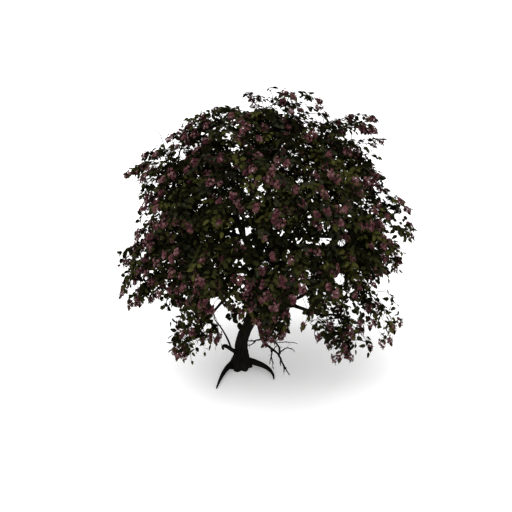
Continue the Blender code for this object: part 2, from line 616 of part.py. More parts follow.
class Grower:
    """Grows the twigs, blades and blooms of one mass from one stem, by a seeded rule."""

    def __init__(self, mass, foot, heading, foot_radius, spaces, limbs, materials):
        self.mass, self.spaces, self.limbs, self.materials = mass, spaces, limbs, materials
        place = [int(1000 * (c + 10)) for c in mass.centre]
        self.rng = np.random.default_rng([SEED, *place])
        self.foot_radius = foot_radius
        self.joints = [np.array(foot)]
        self.parents = [-1]
        self.headings = [np.array(heading)]
        self.lengths = [0.0]
        self.segments = []
        self.blades = []

    def grow(self):
        """Joins the candidate joints to the growing twigs, nearest first, and returns the fused mass."""
        self.add_joint(self.joints[0] + STEM_SHARE * (self.mass.centre - self.joints[0]), 0)
        tips = candidate_tips(self.mass, self.mass.tips)
        tips = tips + self.rng.normal(0, TIP_JITTER, tips.shape)
        tips = tips[self.spaces.holds(self.mass, tips, margin=TIP_SPACE_MARGIN)]
        tips = tips[crown_depth(tips) > CROWN_BARE]
        order = np.argsort(np.linalg.norm(tips - self.joints[0], axis=1))
        for tip in tips[order]:
            self.join(tip)
        return self.build()

    def join(self, tip):
        """Hangs a joint on the one that costs least: near it, near the foot, and above it if twigs weep."""
        joints = np.array(self.joints[1:])
        gap = np.linalg.norm(joints - tip, axis=1)
        if gap.min() < JOINT_SPACING * self.mass.reach:
            return
        climb = np.clip(tip[2] - joints[:, 2], 0, None)
        turn = 1 - ((tip - joints) * np.array(self.headings[1:])).sum(1) / gap
        cost = gap + PATH_WEIGHT * np.array(self.lengths[1:])
        cost += (CLIMB_COST + self.mass.weeping) * climb + TURN_COST * turn
        for k in np.argsort(cost)[:4]:
            if self.add_joint(tip, int(k) + 1):
                return

    def twig_path(self, k, steps):
        """The twig that ends at a joint: it leaves along its parent, rises a little, then droops."""
        parent = self.parents[k]
        foot, tip = self.joints[parent], self.joints[k]
        gap = np.linalg.norm(tip - foot)
        along = unit(tip - foot)
        if parent:
            rise = np.array([0, 0, TWIG_RISE - 0.40 * self.mass.weeping])
            leave = unit(0.45 * self.headings[parent] + along + rise)
        else:
            leave = self.headings[0]
        arrive = unit(along - np.array([0, 0, TWIG_DROOP]))
        return bezier([foot, foot + leave * gap * 0.36, tip - arrive * gap * 0.36, tip], steps)

    def add_joint(self, tip, parent):
        """Adds a joint if its twig keeps to the space and, past the stem, off the limbs."""
        self.joints.append(np.array(tip))
        self.parents.append(parent)
        path = self.twig_path(len(self.joints) - 1, 7)
        free = self.spaces.holds(self.mass, path[1:], margin=TWIG_SPACE_MARGIN).all()
        if not free or (parent and not self.limbs.clear_of(path, TWIG_RADIUS)):
            self.joints.pop()
            self.parents.pop()
            return False
        self.headings.append(unit(path[-1] - path[-2]))
        self.lengths.append(self.lengths[parent] + float(np.linalg.norm(np.diff(path, axis=0), axis=1).sum()))
        return True

    def loads(self):
        """How many twig ends each joint carries."""
        load = np.zeros(len(self.joints))
        for k in range(len(self.joints) - 1, 0, -1):
            load[k] = max(load[k], 1.0)
            load[self.parents[k]] += load[k]
        return load

    def sort_ends(self):
        """Picks the ends that bloom, those that end in a blade, and those whose blade needs no twig."""
        ends = [k for k in range(1, len(self.joints)) if k not in self.parents]
        ends.sort(key=lambda end: -crown_depth(self.joints[end]))
        blooming = ends[1:2 * BLOOMS_PER_MASS:2]
        bladed = [k for k in ends if k not in blooming]
        direct = [k for k in bladed if self.parents[k] and self.gap(k) < BLADE_LENGTHS[0]]
        return blooming, bladed, direct

    def gap(self, k):
        """How far joint k lies from the joint before it."""
        return np.linalg.norm(self.joints[k] - self.joints[self.parents[k]])

    def chains(self, load, direct):
        """Twigs from end to end: at each joint the heaviest branch carries on, and the others start there."""
        branches = [[] for _ in self.joints]
        for k in range(1, len(self.joints)):
            if k not in direct:
                branches[self.parents[k]].append(k)
        starts, chains = [(0, 1)], []
        while starts:
            start, k = starts.pop(0)
            chain = [start, k]
            while branches[k]:
                heaviest = max(branches[k], key=lambda branch: load[branch])
                starts += [(k, branch) for branch in branches[k] if branch != heaviest]
                k = heaviest
                chain.append(k)
            chains.append(chain)
        return chains

    def build(self):
        """Makes the twigs, blades and blooms as closed meshes and fuses them to the stem."""
        load = self.loads()
        radii = np.minimum(TWIG_RADIUS * load ** (1 / PIPE_POWER), 0.9 * self.foot_radius)
        radii[0] = 0.95 * self.foot_radius
        blooming, bladed, direct = self.sort_ends()
        feet = {k: self.joints[self.parents[k]] if k in direct else self.blade_foot(k) for k in bladed}
        pieces = []
        for chain in self.chains(load, direct):
            path, thickness = self.chain_line(chain, radii, feet)
            self.segments.append(np.stack([path[:-1], path[1:]], axis=1))
            facing = self.headings[0] if chain[0] == 0 else None
            pieces.append(self.piece(*tube(path, thickness, TWIG_SIDES, facing), BARK))
        for k in blooming:
            self.add_bloom(pieces, k)
        for k in bladed:
            aim = self.joints[k] - feet[k]
            foot = feet[k] - unit(aim) * (DIRECT_SUNK if k in direct else BLADE_SUNK)
            self.add_blade(pieces, foot, [aim], np.linalg.norm(self.joints[k] - foot))
        for k in range(1, len(self.joints)):
            if k in self.parents:
                self.add_side_blades(pieces, k)
        stem = pieces.pop(0)
        stem.name = self.mass.name
        fuse(stem, pieces, self.mass.name)
        return stem

    def piece(self, corners, faces, index):
        """One closed mesh that is to be fused into the mass."""
        return new_object(self.mass.name + "_piece", corners, faces, self.materials, index, smooth=False)

    def chain_line(self, chain, radii, feet):
        """Centre line and radii of one twig. Where a blade carries on from it, its last stretch is short."""
        path = [self.joints[chain[0]]]
        thickness = [radii[0] if chain[0] == 0 else SUNK_RADIUS * radii[chain[0]]]
        for k in chain[1:]:
            steps = 3 if self.gap(k) > 0.55 else 2
            path += list(self.twig_path(k, steps)[1:])
            thickness += [radii[k]] * (steps - 1)
        if chain[-1] in feet:
            path[-1] = feet[chain[-1]]
        thickness[-1] = 0.8 * TWIG_RADIUS
        return np.array(path), np.array(thickness)

    def blade_foot(self, k):
        """Where a long twig's last blade starts, so that its tip lies at the twig's last joint."""
        path = self.twig_path(k, 9)
        left = np.linalg.norm(path - path[-1], axis=1)
        return path[max(int(np.argmax(left < BLADE_LENGTHS[0])), 2)]

    def add_side_blades(self, pieces, k):
        """Gives a joint a blade to each side of its twig."""
        joint, heading = self.joints[k], self.headings[k]
        outward = unit(joint - CROWN_CENTRE)
        hang = np.array([0, 0, BLADE_HANG + 0.25 * self.mass.weeping])
        side = unit(np.cross(heading, (0, 0, 1.0)))
        for hand in (side, -side):
            aims = [along * heading + hand + 0.4 * outward - hang for along in (0.8, 0.2, -0.4)]
            self.add_blade(pieces, joint - heading * BLADE_SUNK, aims, BLADE_LENGTHS[0])

    def add_blade(self, pieces, foot, aims, longest):
        """Adds the longest blade that fits: in the space, off the limbs, and across no twig or blade."""
        outward = unit(foot - CROWN_CENTRE)
        roll = self.rng.random() - 0.5
        lengths = [longest] + [length for length in BLADE_LENGTHS if length < 0.95 * longest]
        for length in lengths:
            for aim in aims:
                across = unit(np.cross(aim, (0, 0, 1.0)))
                for turn in (roll, roll + 1.0, roll - 1.0):
                    up = unit(outward + (0, 0, 0.45) + turn * across)
                    corners, faces = blade(foot, aim, up, length)
                    if self.fits(corners):
                        self.blades.append(corners)
                        pieces.append(self.piece(corners, faces, LEAF))
                        return

    def fits(self, corners):
        """True where a blade keeps to the space, off the limbs, and clear of the twigs and blades so far."""
        if not self.spaces.holds(self.mass, corners).all():
            return False
        panels, edges = blade_panels(corners)
        if crosses(np.vstack(self.segments + self.limbs.segments()), panels):
            return False
        for other in self.blades:
            other_panels, other_edges = blade_panels(other)
            if crosses(edges, other_panels) or crosses(other_edges, panels):
                return False
        return self.limbs.clear_of(blade_samples(corners), 0.0)

    def add_bloom(self, pieces, k):
        """Puts a bloom on the end of a twig."""
        facing = unit(self.headings[k] + unit(self.joints[k] - CROWN_CENTRE) + (0, 0, 0.4))
        corners, faces = bloom(self.joints[k] + facing * 0.01, facing)
        if self.spaces.holds(self.mass, corners).all() and self.limbs.clear_of(corners, 0.0):
            pieces.append(self.piece(corners, faces, PETAL))


def blade_samples(corners):
    """Points all over a blade, close enough together to find a limb that would touch it."""
    foot, left, tip, right = corners[:4]
    share = np.linspace(0, 1, 25)[:, None]
    spine = foot + share * (tip - foot)
    rows = [spine]
    for edge in (left, right):
        rising = foot + share / BLADE_MIDDLE * (edge - foot)
        falling = edge + (share - BLADE_MIDDLE) / (1 - BLADE_MIDDLE) * (tip - edge)
        rim = np.where(share < BLADE_MIDDLE, rising, falling)
        rows += [spine + across * (rim - spine) for across in np.linspace(0, 1, 7)[1:]]
    return np.vstack(rows)


def blade_panels(corners):
    """The four panels of a blade's middle surface and its rim and spine, from a little way past its foot."""
    foot, left, tip, right = corners[:4]
    middle = (corners[4] + corners[5]) / 2
    near = foot + 0.12 * (middle - foot)
    rim = [(near, left), (left, tip), (tip, right), (right, near)]
    panels = np.array([(start, end, middle) for start, end in rim])
    edges = np.array([*rim, (near, middle), (middle, tip)])
    return panels, edges


def crosses(segments, panels):
    """True where any of the segments passes through any of the triangular panels."""
    start, ray = segments[:, None, 0], segments[:, None, 1] - segments[:, None, 0]
    corner = panels[None, :, 0]
    side, other = panels[None, :, 1] - corner, panels[None, :, 2] - corner
    normal = np.cross(ray, other)
    scale = (side * normal).sum(2)
    scale = np.where(np.abs(scale) < 1e-12, 1e-12, scale)
    to = start - corner
    u = (to * normal).sum(2) / scale
    across = np.cross(to, side)
    v = (ray * across).sum(2) / scale
    t = (other * across).sum(2) / scale
    return bool(((u > 0) & (v > 0) & (u + v < 1) & (t > 0) & (t < 1)).any())


def make_masses(masses, feet, materials, limbs):
    """Every mass of foliage, each grown from the end of the limb that carries it."""
    spaces = Spaces(masses)
    for mass in masses:
        point, heading, radius = feet[mass.name]
        Grower(mass, point + heading * CLEARANCE, heading, radius, spaces, limbs, materials).grow()


def end_of(points, radii):
    """Where a mass's stem starts: the end of a limb, the way that its cap faces, and its radius."""
    tangents, _, _ = frames(np.asarray(points, float))
    return points[-1], tangents[-1], radii[-1]


# ------------------------------------------------------------------ low limbs

def make_dead_limb(trunk, materials, limbs):
    """The dead limb on the right: a falling limb, then a mass of bare twigs fused to one stem."""
    path = bezier(DEAD_LIMB, LIMB_STEPS)
    limb = make_limb("dead_limb", path, taper(*DEAD_LIMB_RADII, LIMB_STEPS), (), materials, limbs)
    boolean(limb, trunk_cutter(trunk, materials), "DIFFERENCE")
    point, heading, _ = end_of(path, [0.0])
    control = np.array(DEAD_STEM)
    control[0] = point + heading * CLEARANCE
    control[1] = control[0] + heading * 0.12
    line = bezier(control, 7)
    radii = np.linspace(*DEAD_STEM_RADII, 7)
    stem = new_object("bare_twigs", *tube(line, radii, 5, heading), materials)
    limbs.add("bare_twigs", line, radii)
    fuse(stem, bare_twigs(line, radii, materials), "bare_twigs")
    return stem


def bare_twigs(line, radii, materials):
    """Leafless twigs: a fan that droops from the stem, each with one side twig, and two that reach back."""
    pieces = []
    for k in range(DEAD_TWIGS):
        share = 0.35 + 0.65 * k / (DEAD_TWIGS - 1)
        foot, heading = point_along(line, share)
        spread = -1.55 + 1.75 * ((k * 3) % DEAD_TWIGS) / (DEAD_TWIGS - 1)
        aim = np.array([np.cos(spread), -0.28 * np.cos(2.1 * k), np.sin(spread)])
        tip = foot + unit(aim) * DEAD_TWIG_LENGTH * (0.75 + 0.35 * ((k * 5) % 7) / 6)
        tip[2] = max(tip[2], 0.12)
        path = bezier([foot, foot + unit(heading + 0.9 * unit(aim) + (0, 0, 0.35)) * 0.16,
                       tip + (0, 0, 0.11), tip], 5)
        thickness = np.linspace(0.0125, 0.0060, 5)
        pieces.append(new_object("twig", *tube(path, thickness, TWIG_SIDES), materials, smooth=False))
        start = path[2]
        side = unit(np.cross(unit(aim), (0.2, 1.0, 0.1))) * (1 if k % 2 else -1)
        end = start + (0.55 * unit(aim) + 0.5 * side) * 0.26
        end[2] = max(end[2], 0.10)
        fork = bezier([start, start * 0.66 + end * 0.34 + (0, 0, 0.02), start * 0.33 + end * 0.67, end], 3)
        thickness = (0.0085, 0.0068, 0.0052)
        pieces.append(new_object("twig", *tube(fork, thickness, TWIG_SIDES), materials, smooth=False))
    foot = line[0] * 0.4 + line[1] * 0.6
    for drop in (0.02, 0.10):
        tip = foot + (-0.26, -0.03, -drop)
        path = bezier([foot, foot + (-0.08, 0, 0.02), tip + (0.10, 0, -0.02), tip], 4)
        thickness = np.linspace(0.012, 0.006, 4)
        pieces.append(new_object("twig", *tube(path, thickness, TWIG_SIDES), materials, smooth=False))
    return pieces


def make_stub_and_shoot(trunk, materials, limbs):
    """The broken stub low on the left, and the thin shoot that rises from it."""
    stub_line = bezier(STUB, 6)
    stub = make_limb("broken_stub", stub_line, np.linspace(*STUB_RADII, 6), (), materials, limbs)
    boolean(stub, trunk_cutter(trunk, materials), "DIFFERENCE")
    shoot_line = bezier(SHOOT, LIMB_STEPS)
    shoot_radii = np.linspace(*SHOOT_RADII, LIMB_STEPS)
    make_limb("low_shoot", shoot_line, shoot_radii, ("broken_stub",), materials, limbs)
    return shoot_line, shoot_radii


# ------------------------------------------------------------------ materials and assembly

def make_material(name, colour, roughness):
    """A plain Principled material."""
    material = bpy.data.materials.new(name)
    material.use_nodes = True
    shader = material.node_tree.nodes["Principled BSDF"]
    shader.inputs["Base Color"].default_value = (*colour, 1.0)
    shader.inputs["Roughness"].default_value = roughness
    shader.inputs["Metallic"].default_value = 0.0
    material.diffuse_color = (*colour, 1.0)
    return material


def main():
    """Builds the whole tree."""
    for obj in list(bpy.data.objects):
        bpy.data.objects.remove(obj)
    materials = [
        make_material("bark", (0.060, 0.052, 0.045), 0.9),
        make_material("leaf", (0.055, 0.070, 0.022), 0.6),
        make_material("petal", (0.360, 0.110, 0.130), 0.6),
    ]
    limbs = Limbs()
    trunk = make_trunk(materials, limbs)
    masses = {mass.name: mass for mass in MASSES}
    make_boughs(trunk, masses, materials, limbs)
    make_dead_limb(trunk, materials, limbs)
    shoot = make_stub_and_shoot(trunk, materials, limbs)
    feet = {bough.mass: end_of(bough.path, bough.radii) for bough in BOUGHS}
    feet[SHOOT_MASS.name] = end_of(*shoot)
    make_masses((*MASSES, SHOOT_MASS), feet, materials, limbs)


main()
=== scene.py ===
"""Orchid tree, dressed: bark on the trunk and boughs, fine twigs, sprays of leaves and clusters of blossom.

Metres, +Z up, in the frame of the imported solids. The limbs and the first twigs are worked out again by the rule
that shaped the solids, from the same named sizes and seed. Finer twigs, leaves and blossom grow on from them.
"""

from __future__ import annotations

import json
import logging
from dataclasses import dataclass, field
from enum import Enum, IntEnum
from functools import partial

import bpy
import numpy as np
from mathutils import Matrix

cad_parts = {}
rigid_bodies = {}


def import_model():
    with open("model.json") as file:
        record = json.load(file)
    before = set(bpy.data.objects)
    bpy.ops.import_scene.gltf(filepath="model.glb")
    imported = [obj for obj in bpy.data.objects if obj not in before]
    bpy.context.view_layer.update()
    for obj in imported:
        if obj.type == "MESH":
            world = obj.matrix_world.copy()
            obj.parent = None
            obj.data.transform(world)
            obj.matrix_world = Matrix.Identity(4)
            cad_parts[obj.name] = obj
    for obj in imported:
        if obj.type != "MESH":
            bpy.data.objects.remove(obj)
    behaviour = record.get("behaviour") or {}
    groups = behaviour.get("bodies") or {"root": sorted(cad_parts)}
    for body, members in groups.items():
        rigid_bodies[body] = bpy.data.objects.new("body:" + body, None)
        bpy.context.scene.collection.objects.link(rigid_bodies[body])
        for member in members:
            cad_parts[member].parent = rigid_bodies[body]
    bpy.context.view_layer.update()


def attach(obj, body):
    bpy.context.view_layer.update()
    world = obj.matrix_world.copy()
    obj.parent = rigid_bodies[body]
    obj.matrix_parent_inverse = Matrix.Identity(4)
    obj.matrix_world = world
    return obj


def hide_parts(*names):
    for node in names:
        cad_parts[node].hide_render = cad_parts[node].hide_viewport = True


LOG = logging.getLogger("orchid_tree")
SEED = 11
CLEARANCE = 0.0003
BODY = "root"
UP = np.array([0.0, 0.0, 1.0])
GOLDEN_SHARE = (np.sqrt(5) - 1) / 2
GOLDEN_ANGLE = np.pi * (3 - np.sqrt(5))
FULL_TURN = 6.2832

Colour = tuple[float, float, float]
Point = tuple[float, float, float]
Curve = tuple[Point, Point, Point, Point]
Span = tuple[float, float]
Shape = tuple[np.ndarray, np.ndarray, np.ndarray]
Surface = tuple[np.ndarray, list[np.ndarray], np.ndarray]


class Stream(IntEnum):
    """Runs of random numbers that are kept apart, so that a change to one leaves the others as they are."""

    TWIGS = 77
    LEAVES = 301
    BLOSSOM = 401
    DEAD_WOOD = 501


def draws(*place: int) -> np.random.Generator:
    """Starts the run of random numbers that belongs to a stream or a place."""
    return np.random.default_rng([SEED, *place])


# ------------------------------------------------------------------ curves and arrays

def unit(vectors: np.ndarray) -> np.ndarray:
    """Scales one vector, or each row of vectors, to length 1."""
    vectors = np.asarray(vectors, float)
    return vectors / np.maximum(np.linalg.norm(vectors, axis=-1, keepdims=True), 1e-9)


def bezier(control: np.ndarray, steps: int) -> np.ndarray:
    """Works out points along cubic Bezier curves.

    The point at t is (1-t)^3 P0 + 3 (1-t)^2 t P1 + 3 (1-t) t^2 P2 + t^3 P3.

    Args:
        control: Four control points, (4, 3), or those of many curves, (N, 4, 3).
        steps: Number of points on each curve.

    Returns:
        Points, (steps, 3) or (N, steps, 3).
    """
    control = np.asarray(control, float)
    t = np.linspace(0.0, 1.0, steps)[:, None]
    weights = ((1 - t) ** 3, 3 * (1 - t) ** 2 * t, 3 * (1 - t) * t ** 2, t ** 3)
    return sum(weight * control[..., k, None, :] for k, weight in enumerate(weights))


def point_along(points: np.ndarray, share: float) -> tuple[np.ndarray, np.ndarray]:
    """Finds the point and the direction at a share of a line's length.

    Args:
        points: The line, (S, 3).
        share: 0 at its start and 1 at its end.

    Returns:
        The point and the unit direction there.
    """
    lengths = np.r_[0, np.cumsum(np.linalg.norm(np.diff(points, axis=0), axis=1))]
    at = share * lengths[-1]
    point = np.array([np.interp(at, lengths, points[:, k]) for k in range(3)])
    k = min(int(np.searchsorted(lengths, at)), len(points) - 1)
    return point, unit(points[max(k, 1)] - points[max(k, 1) - 1])


def smooth_stations(stations: np.ndarray, steps: int) -> np.ndarray:
    """Draws a Catmull-Rom curve through stations.

    Args:
        stations: Rows of numbers, (N, K).
        steps: Number of rows to return.

    Returns:
        Rows on the curve, (steps, K).
    """
    padded = np.vstack([2 * stations[0] - stations[1], stations, 2 * stations[-1] - stations[-2]])
    place = np.linspace(0, len(stations) - 1 - 1e-9, steps)
    k = place.astype(int)
    t = (place - k)[:, None]
    a, b, c, d = padded[k], padded[k + 1], padded[k + 2], padded[k + 3]
    linear, square, cube = c - a, 2 * a - 5 * b + 4 * c - d, 3 * b - a - 3 * c + d
    return 0.5 * (2 * b + linear * t + square * t ** 2 + cube * t ** 3)


def frames(paths: np.ndarray) -> tuple[np.ndarray, np.ndarray, np.ndarray]:
    """Finds a frame at each point of many paths.

    The side vector starts level and square to the path's chord, and is then made square to each tangent.

    Args:
        paths: Points, (N, S, 3).

    Returns:
        Unit tangents, sides and uppers, each (N, S, 3).
    """
    tangents = unit(np.gradient(paths, axis=1))
    chord = paths[:, -1] - paths[:, 0] + np.array([1e-4, 2e-4, 0.0])
    side = unit(np.cross(chord, UP))[:, None]
    sides = unit(side - tangents * (tangents * side).sum(-1, keepdims=True))
    return tangents, sides, np.cross(sides, tangents)


@dataclass(frozen=True)
class LatticeNoise:
    """Smooth noise: random numbers on a cubic lattice, blended between its points, from 0 to 1."""

    seed: int
    size: int = 32

    def __call__(self, points: np.ndarray) -> np.ndarray:
        """Reads the noise at points.

        Args:
            points: Places in lattice steps, (..., 3).

        Returns:
            One number from 0 to 1 for each point.
        """
        table = np.random.default_rng(self.seed).random((self.size,) * 3)
        low = np.floor(points).astype(int)
        t = points - low
        t = t * t * (3 - 2 * t)
        total = 0.0
        for corner in np.ndindex(2, 2, 2):
            at = (low + corner) % self.size
            share = np.where(corner, t, 1 - t).prod(-1)
            total = total + share * table[at[..., 0], at[..., 1], at[..., 2]]
        return total


# ------------------------------------------------------------------ meshes

@dataclass
class MeshParts:
    """Corners, faces and UV places of a mesh that is put together from several arrays."""

    corners: list[np.ndarray] = field(default_factory=list)
    faces: list[np.ndarray] = field(default_factory=list)
    places: list[np.ndarray] = field(default_factory=list)
    count: int = 0

    def add(self, corners: np.ndarray, faces: list[np.ndarray], places: np.ndarray) -> None:
        """Adds one array of corners with its faces.

        Args:
            corners: (V, 3).
            faces: Arrays of corner numbers, each (F, K) with its own K.
            places: UV place of each corner, (V, 2).
        """
        self.corners.append(corners)
        self.faces += [np.asarray(face) + self.count for face in faces]
        self.places.append(places)
        self.count += len(corners)

    def add_copies(self, feet: np.ndarray, sizes: np.ndarray, axes: np.ndarray, shape: np.ndarray,
                   triangles: np.ndarray, places: np.ndarray) -> None:
        """Adds copies of one small shape: each corner is foot + size (x axis 0 + y axis 1 + z axis 2).

        Args:
            feet: Where each copy stands, (N, 3).
            sizes: (N, 1).
            axes: The directions of its x, y and z, (N, 3, 3).
            shape: The shape's corners, (V, 3).
            triangles: Its faces, (F, 3).
            places: Its UV places, (V, 2).
        """
        corners = feet[:, None] + sizes[:, None] * (shape @ axes)
        faces = triangles[None] + (np.arange(len(feet)) * len(shape))[:, None, None]
        self.add(corners.reshape(-1, 3), [faces.reshape(-1, 3)], np.tile(places, (len(feet), 1)))

    def triangles(self) -> int:
        """Counts the triangles that the faces make."""
        return int(sum(len(face) * (face.shape[1] - 2) for face in self.faces))

    def build(self, name: str, material: bpy.types.Material, smooth: bool = True) -> bpy.types.Object:
        """Makes the mesh object, at the origin.

        Args:
            name: The piece's name.
            material: What it is made of.
            smooth: Whether its faces are shaded smooth.

        Returns:
            The new object.
        """
        corners = np.concatenate(self.corners).astype(np.float32)
        places = np.concatenate(self.places).astype(np.float32)
        loops = np.concatenate([face.ravel() for face in self.faces]).astype(np.int32)
        sizes = np.concatenate([np.full(len(face), face.shape[1]) for face in self.faces])
        mesh = bpy.data.meshes.new(name)
        mesh.vertices.add(len(corners))
        mesh.vertices.foreach_set("co", corners.ravel())
        mesh.loops.add(len(loops))
        mesh.loops.foreach_set("vertex_index", loops)
        mesh.polygons.add(len(sizes))
        mesh.polygons.foreach_set("loop_start", np.r_[0, np.cumsum(sizes)[:-1]].astype(np.int32))
        mesh.polygons.foreach_set("use_smooth", np.full(len(sizes), smooth))
        mesh.update(calc_edges=True)
        mesh.uv_layers.new(name="surface").data.foreach_set("uv", places[loops].ravel())
        mesh.materials.append(material)
        obj = bpy.data.objects.new(name, mesh)
        bpy.context.scene.collection.objects.link(obj)
        return obj


def tubes(paths: np.ndarray, radii: np.ndarray, sides: int) -> Surface:
    """Carries a round profile along many paths of the same number of points, and caps both ends.

    A corner lies at path + radius (cos a * side + sin a * upper), with a going once round.

    Args:
        paths: (N, S, 3).
        radii: (N, S).
        sides: Corners of the profile.

    Returns:
        Corners, faces, and UV places with u once round and v along the path in metres.
    """
    count, steps = radii.shape
    _, side, upper = frames(paths)
    angle = np.linspace(0, 2 * np.pi, sides, endpoint=False)[:, None]
    ring = np.cos(angle) * side[:, :, None] + np.sin(angle) * upper[:, :, None]
    corners = paths[:, :, None] + ring * radii[:, :, None, None]
    length = np.cumsum(np.linalg.norm(np.diff(paths, axis=1, prepend=paths[:, :1]), axis=2), axis=1)
    around = np.broadcast_to(np.linspace(0, 1, sides, endpoint=False), (count, steps, sides))
    places = np.stack([around, np.broadcast_to(length[:, :, None], around.shape)], axis=-1)
    return corners.reshape(-1, 3), tube_faces(count, steps, sides), places.reshape(-1, 2)


def tube_faces(count: int, steps: int, sides: int) -> list[np.ndarray]:
    """Numbers the faces of many tubes: quads between rings, and one cap at each end, facing out.

    Args:
        count: Number of tubes.
        steps: Rings of each.
        sides: Corners of each ring.

    Returns:
        An array of quads and one of caps.
    """
    ring = np.arange(count * steps * sides).reshape(count, steps, sides)
    low, high = ring[:, :-1], ring[:, 1:]
    beside = np.roll(low, -1, axis=2), np.roll(high, -1, axis=2)
    quads = np.stack([low, high, beside[1], beside[0]], axis=-1).reshape(-1, 4)
    caps = np.concatenate([ring[:, 0], ring[:, -1, ::-1]])
    return [quads, caps]


# ------------------------------------------------------------------ the tree's sizes

@dataclass(frozen=True)
class Root:
    """A surface root: a curve on the ground, thick at the trunk and thin at its tip."""

    plan: tuple[Span, Span, Span, Span]
    base_radius: float = 0.098
    tip_radius: float = 0.016
    base_height: float = 0.16
    tip_height: float = 0.012
    swell: float = 0.028
    drop: float = 2.2
    taper: float = 0.75

    def line(self, steps: int) -> tuple[np.ndarray, np.ndarray]:
        """Works out the root's centre line and radii.

        Its height falls as (1 - share)^drop, plus swell times sin(pi share); its radius as (1 - share)^taper.

        Args:
            steps: Number of points.

        Returns:
            Points, (steps, 3), and radii, (steps,).
        """
        plan = bezier([(x, y, 0) for x, y in self.plan], steps)
        share = np.linspace(0, 1, steps)
        plan[:, 2] = self.tip_height + (self.base_height - self.tip_height) * (1 - share) ** self.drop
        plan[:, 2] += self.swell * np.sin(np.pi * share)
        return plan, self.tip_radius + (self.base_radius - self.tip_radius) * (1 - share) ** self.taper


@dataclass(frozen=True)
class Mass:
    """The space that one mass of foliage keeps to."""

    name: str
    centre: Point
    half: Point
    tips: int = 15
    weeping: float = 0.0
    sparse: float = 0.0

    @property
    def reach(self) -> float:
        """Mean half size, which weighs this space against its neighbours."""
        return float(np.mean(self.half))

    @property
    def hangs(self) -> bool:
        """True where the shoots hang straight down, below the rest of the crown."""
        return self.weeping >= 0.9


@dataclass(frozen=True)
class Bough:
    """A tapering limb from its parent to the mass that it carries."""

    name: str
    parent: str
    along: float
    mass: str
    base_radius: float
    tip_radius: float
    lift: float = 0.35

    @property
    def leads(self) -> bool:
        """True for the bough that carries the trunk on from its end."""
        return self.along >= 1


ROOTS = (
    Root(plan=((-0.05, 0.03), (-0.36, 0.05), (-0.45, -0.42), (-0.51, -1.03))),
    Root(plan=((0.06, 0.05), (0.50, 0.20), (0.80, -0.12), (0.79, -0.62))),
    Root(plan=((0.02, 0.00), (0.05, 0.30), (-0.06, 0.50), (0.08, 0.82)), base_radius=0.085),
)

BARK_ROOTS = (
    Root(plan=((-0.05, 0.03), (-0.33, -0.03), (-0.42, -0.50), (-0.51, -1.03)),
         base_radius=0.092, drop=3.4, taper=1.0),
    Root(plan=((0.06, 0.05), (0.48, 0.10), (0.81, -0.20), (0.79, -0.62)),
         base_radius=0.096, drop=3.0, taper=1.0),
    Root(plan=((0.02, 0.00), (0.05, 0.30), (-0.06, 0.50), (0.08, 0.82)),
         base_radius=0.085, drop=3.0, taper=0.95),
)

MASSES = (
    Mass("crown_top", (0.98, 0.20, 5.80), (1.10, 1.05, 0.94), tips=21, sparse=-0.30),
    Mass("upper_left_mass", (-0.34, 0.00, 5.44), (0.95, 0.95, 0.86), tips=18, sparse=-0.15),
    Mass("upper_right_mass", (2.24, 0.10, 5.22), (0.94, 1.00, 0.92), tips=17, sparse=-0.10),
    Mass("outer_left_mass", (-1.42, -0.10, 4.98), (1.02, 0.92, 0.86)),
    Mass("outer_right_mass", (3.00, -0.20, 3.38), (0.96, 1.05, 1.10)),
    Mass("mid_left_mass", (-1.12, -0.95, 3.95), (0.90, 0.95, 0.90)),
    Mass("low_left_mass", (-1.84, -0.10, 2.50), (0.98, 1.15, 1.00), weeping=0.5, sparse=-0.15),
    Mass("weeping_left_mass", (-0.92, -1.32, 1.70), (0.70, 0.74, 0.94), tips=16, weeping=1.0, sparse=0.58),
    Mass("weeping_right_mass", (2.40, -1.00, 1.74), (1.16, 0.90, 0.96), weeping=1.0, sparse=0.50),
    Mass("front_low_left_mass", (-0.22, -2.20, 3.20), (0.95, 0.90, 0.90), weeping=0.5, sparse=-0.05),
    Mass("front_low_right_mass", (1.08, -2.20, 3.15), (0.95, 0.90, 0.90), weeping=0.5, sparse=-0.05),
    Mass("front_upper_left_mass", (0.07, -1.70, 4.65), (0.95, 0.95, 0.90)),
    Mass("front_upper_right_mass", (1.53, -1.60, 4.48), (0.95, 0.95, 0.90)),
    Mass("front_side_mass", (2.30, -1.45, 3.40), (0.75, 0.80, 0.80)),
    Mass("front_hanging_mass", (0.74, -1.20, 1.98), (0.56, 0.54, 0.76), tips=14, weeping=1.0, sparse=0.36),
    Mass("back_upper_mass", (0.90, 1.60, 4.85), (1.00, 0.95, 0.90)),
    Mass("back_left_mass", (-0.95, 1.45, 3.95), (0.95, 0.95, 0.95)),
    Mass("back_right_mass", (2.40, 1.60, 4.00), (0.95, 0.95, 0.95)),
    Mass("back_low_left_mass", (-0.85, 1.95, 2.45), (0.95, 0.90, 0.95), weeping=0.6, sparse=0.20),
    Mass("back_low_middle_mass", (0.85, 2.35, 2.95), (0.90, 0.80, 1.00), weeping=0.6),
    Mass("back_low_right_mass", (2.50, 1.45, 2.20), (0.95, 0.90, 0.90), weeping=0.8, sparse=0.20),
)
SHOOT_MASS = Mass("low_shoot_mass", (-0.60, -0.22, 1.52), (0.42, 0.42, 0.46),
                  tips=9, weeping=0.3, sparse=0.70)

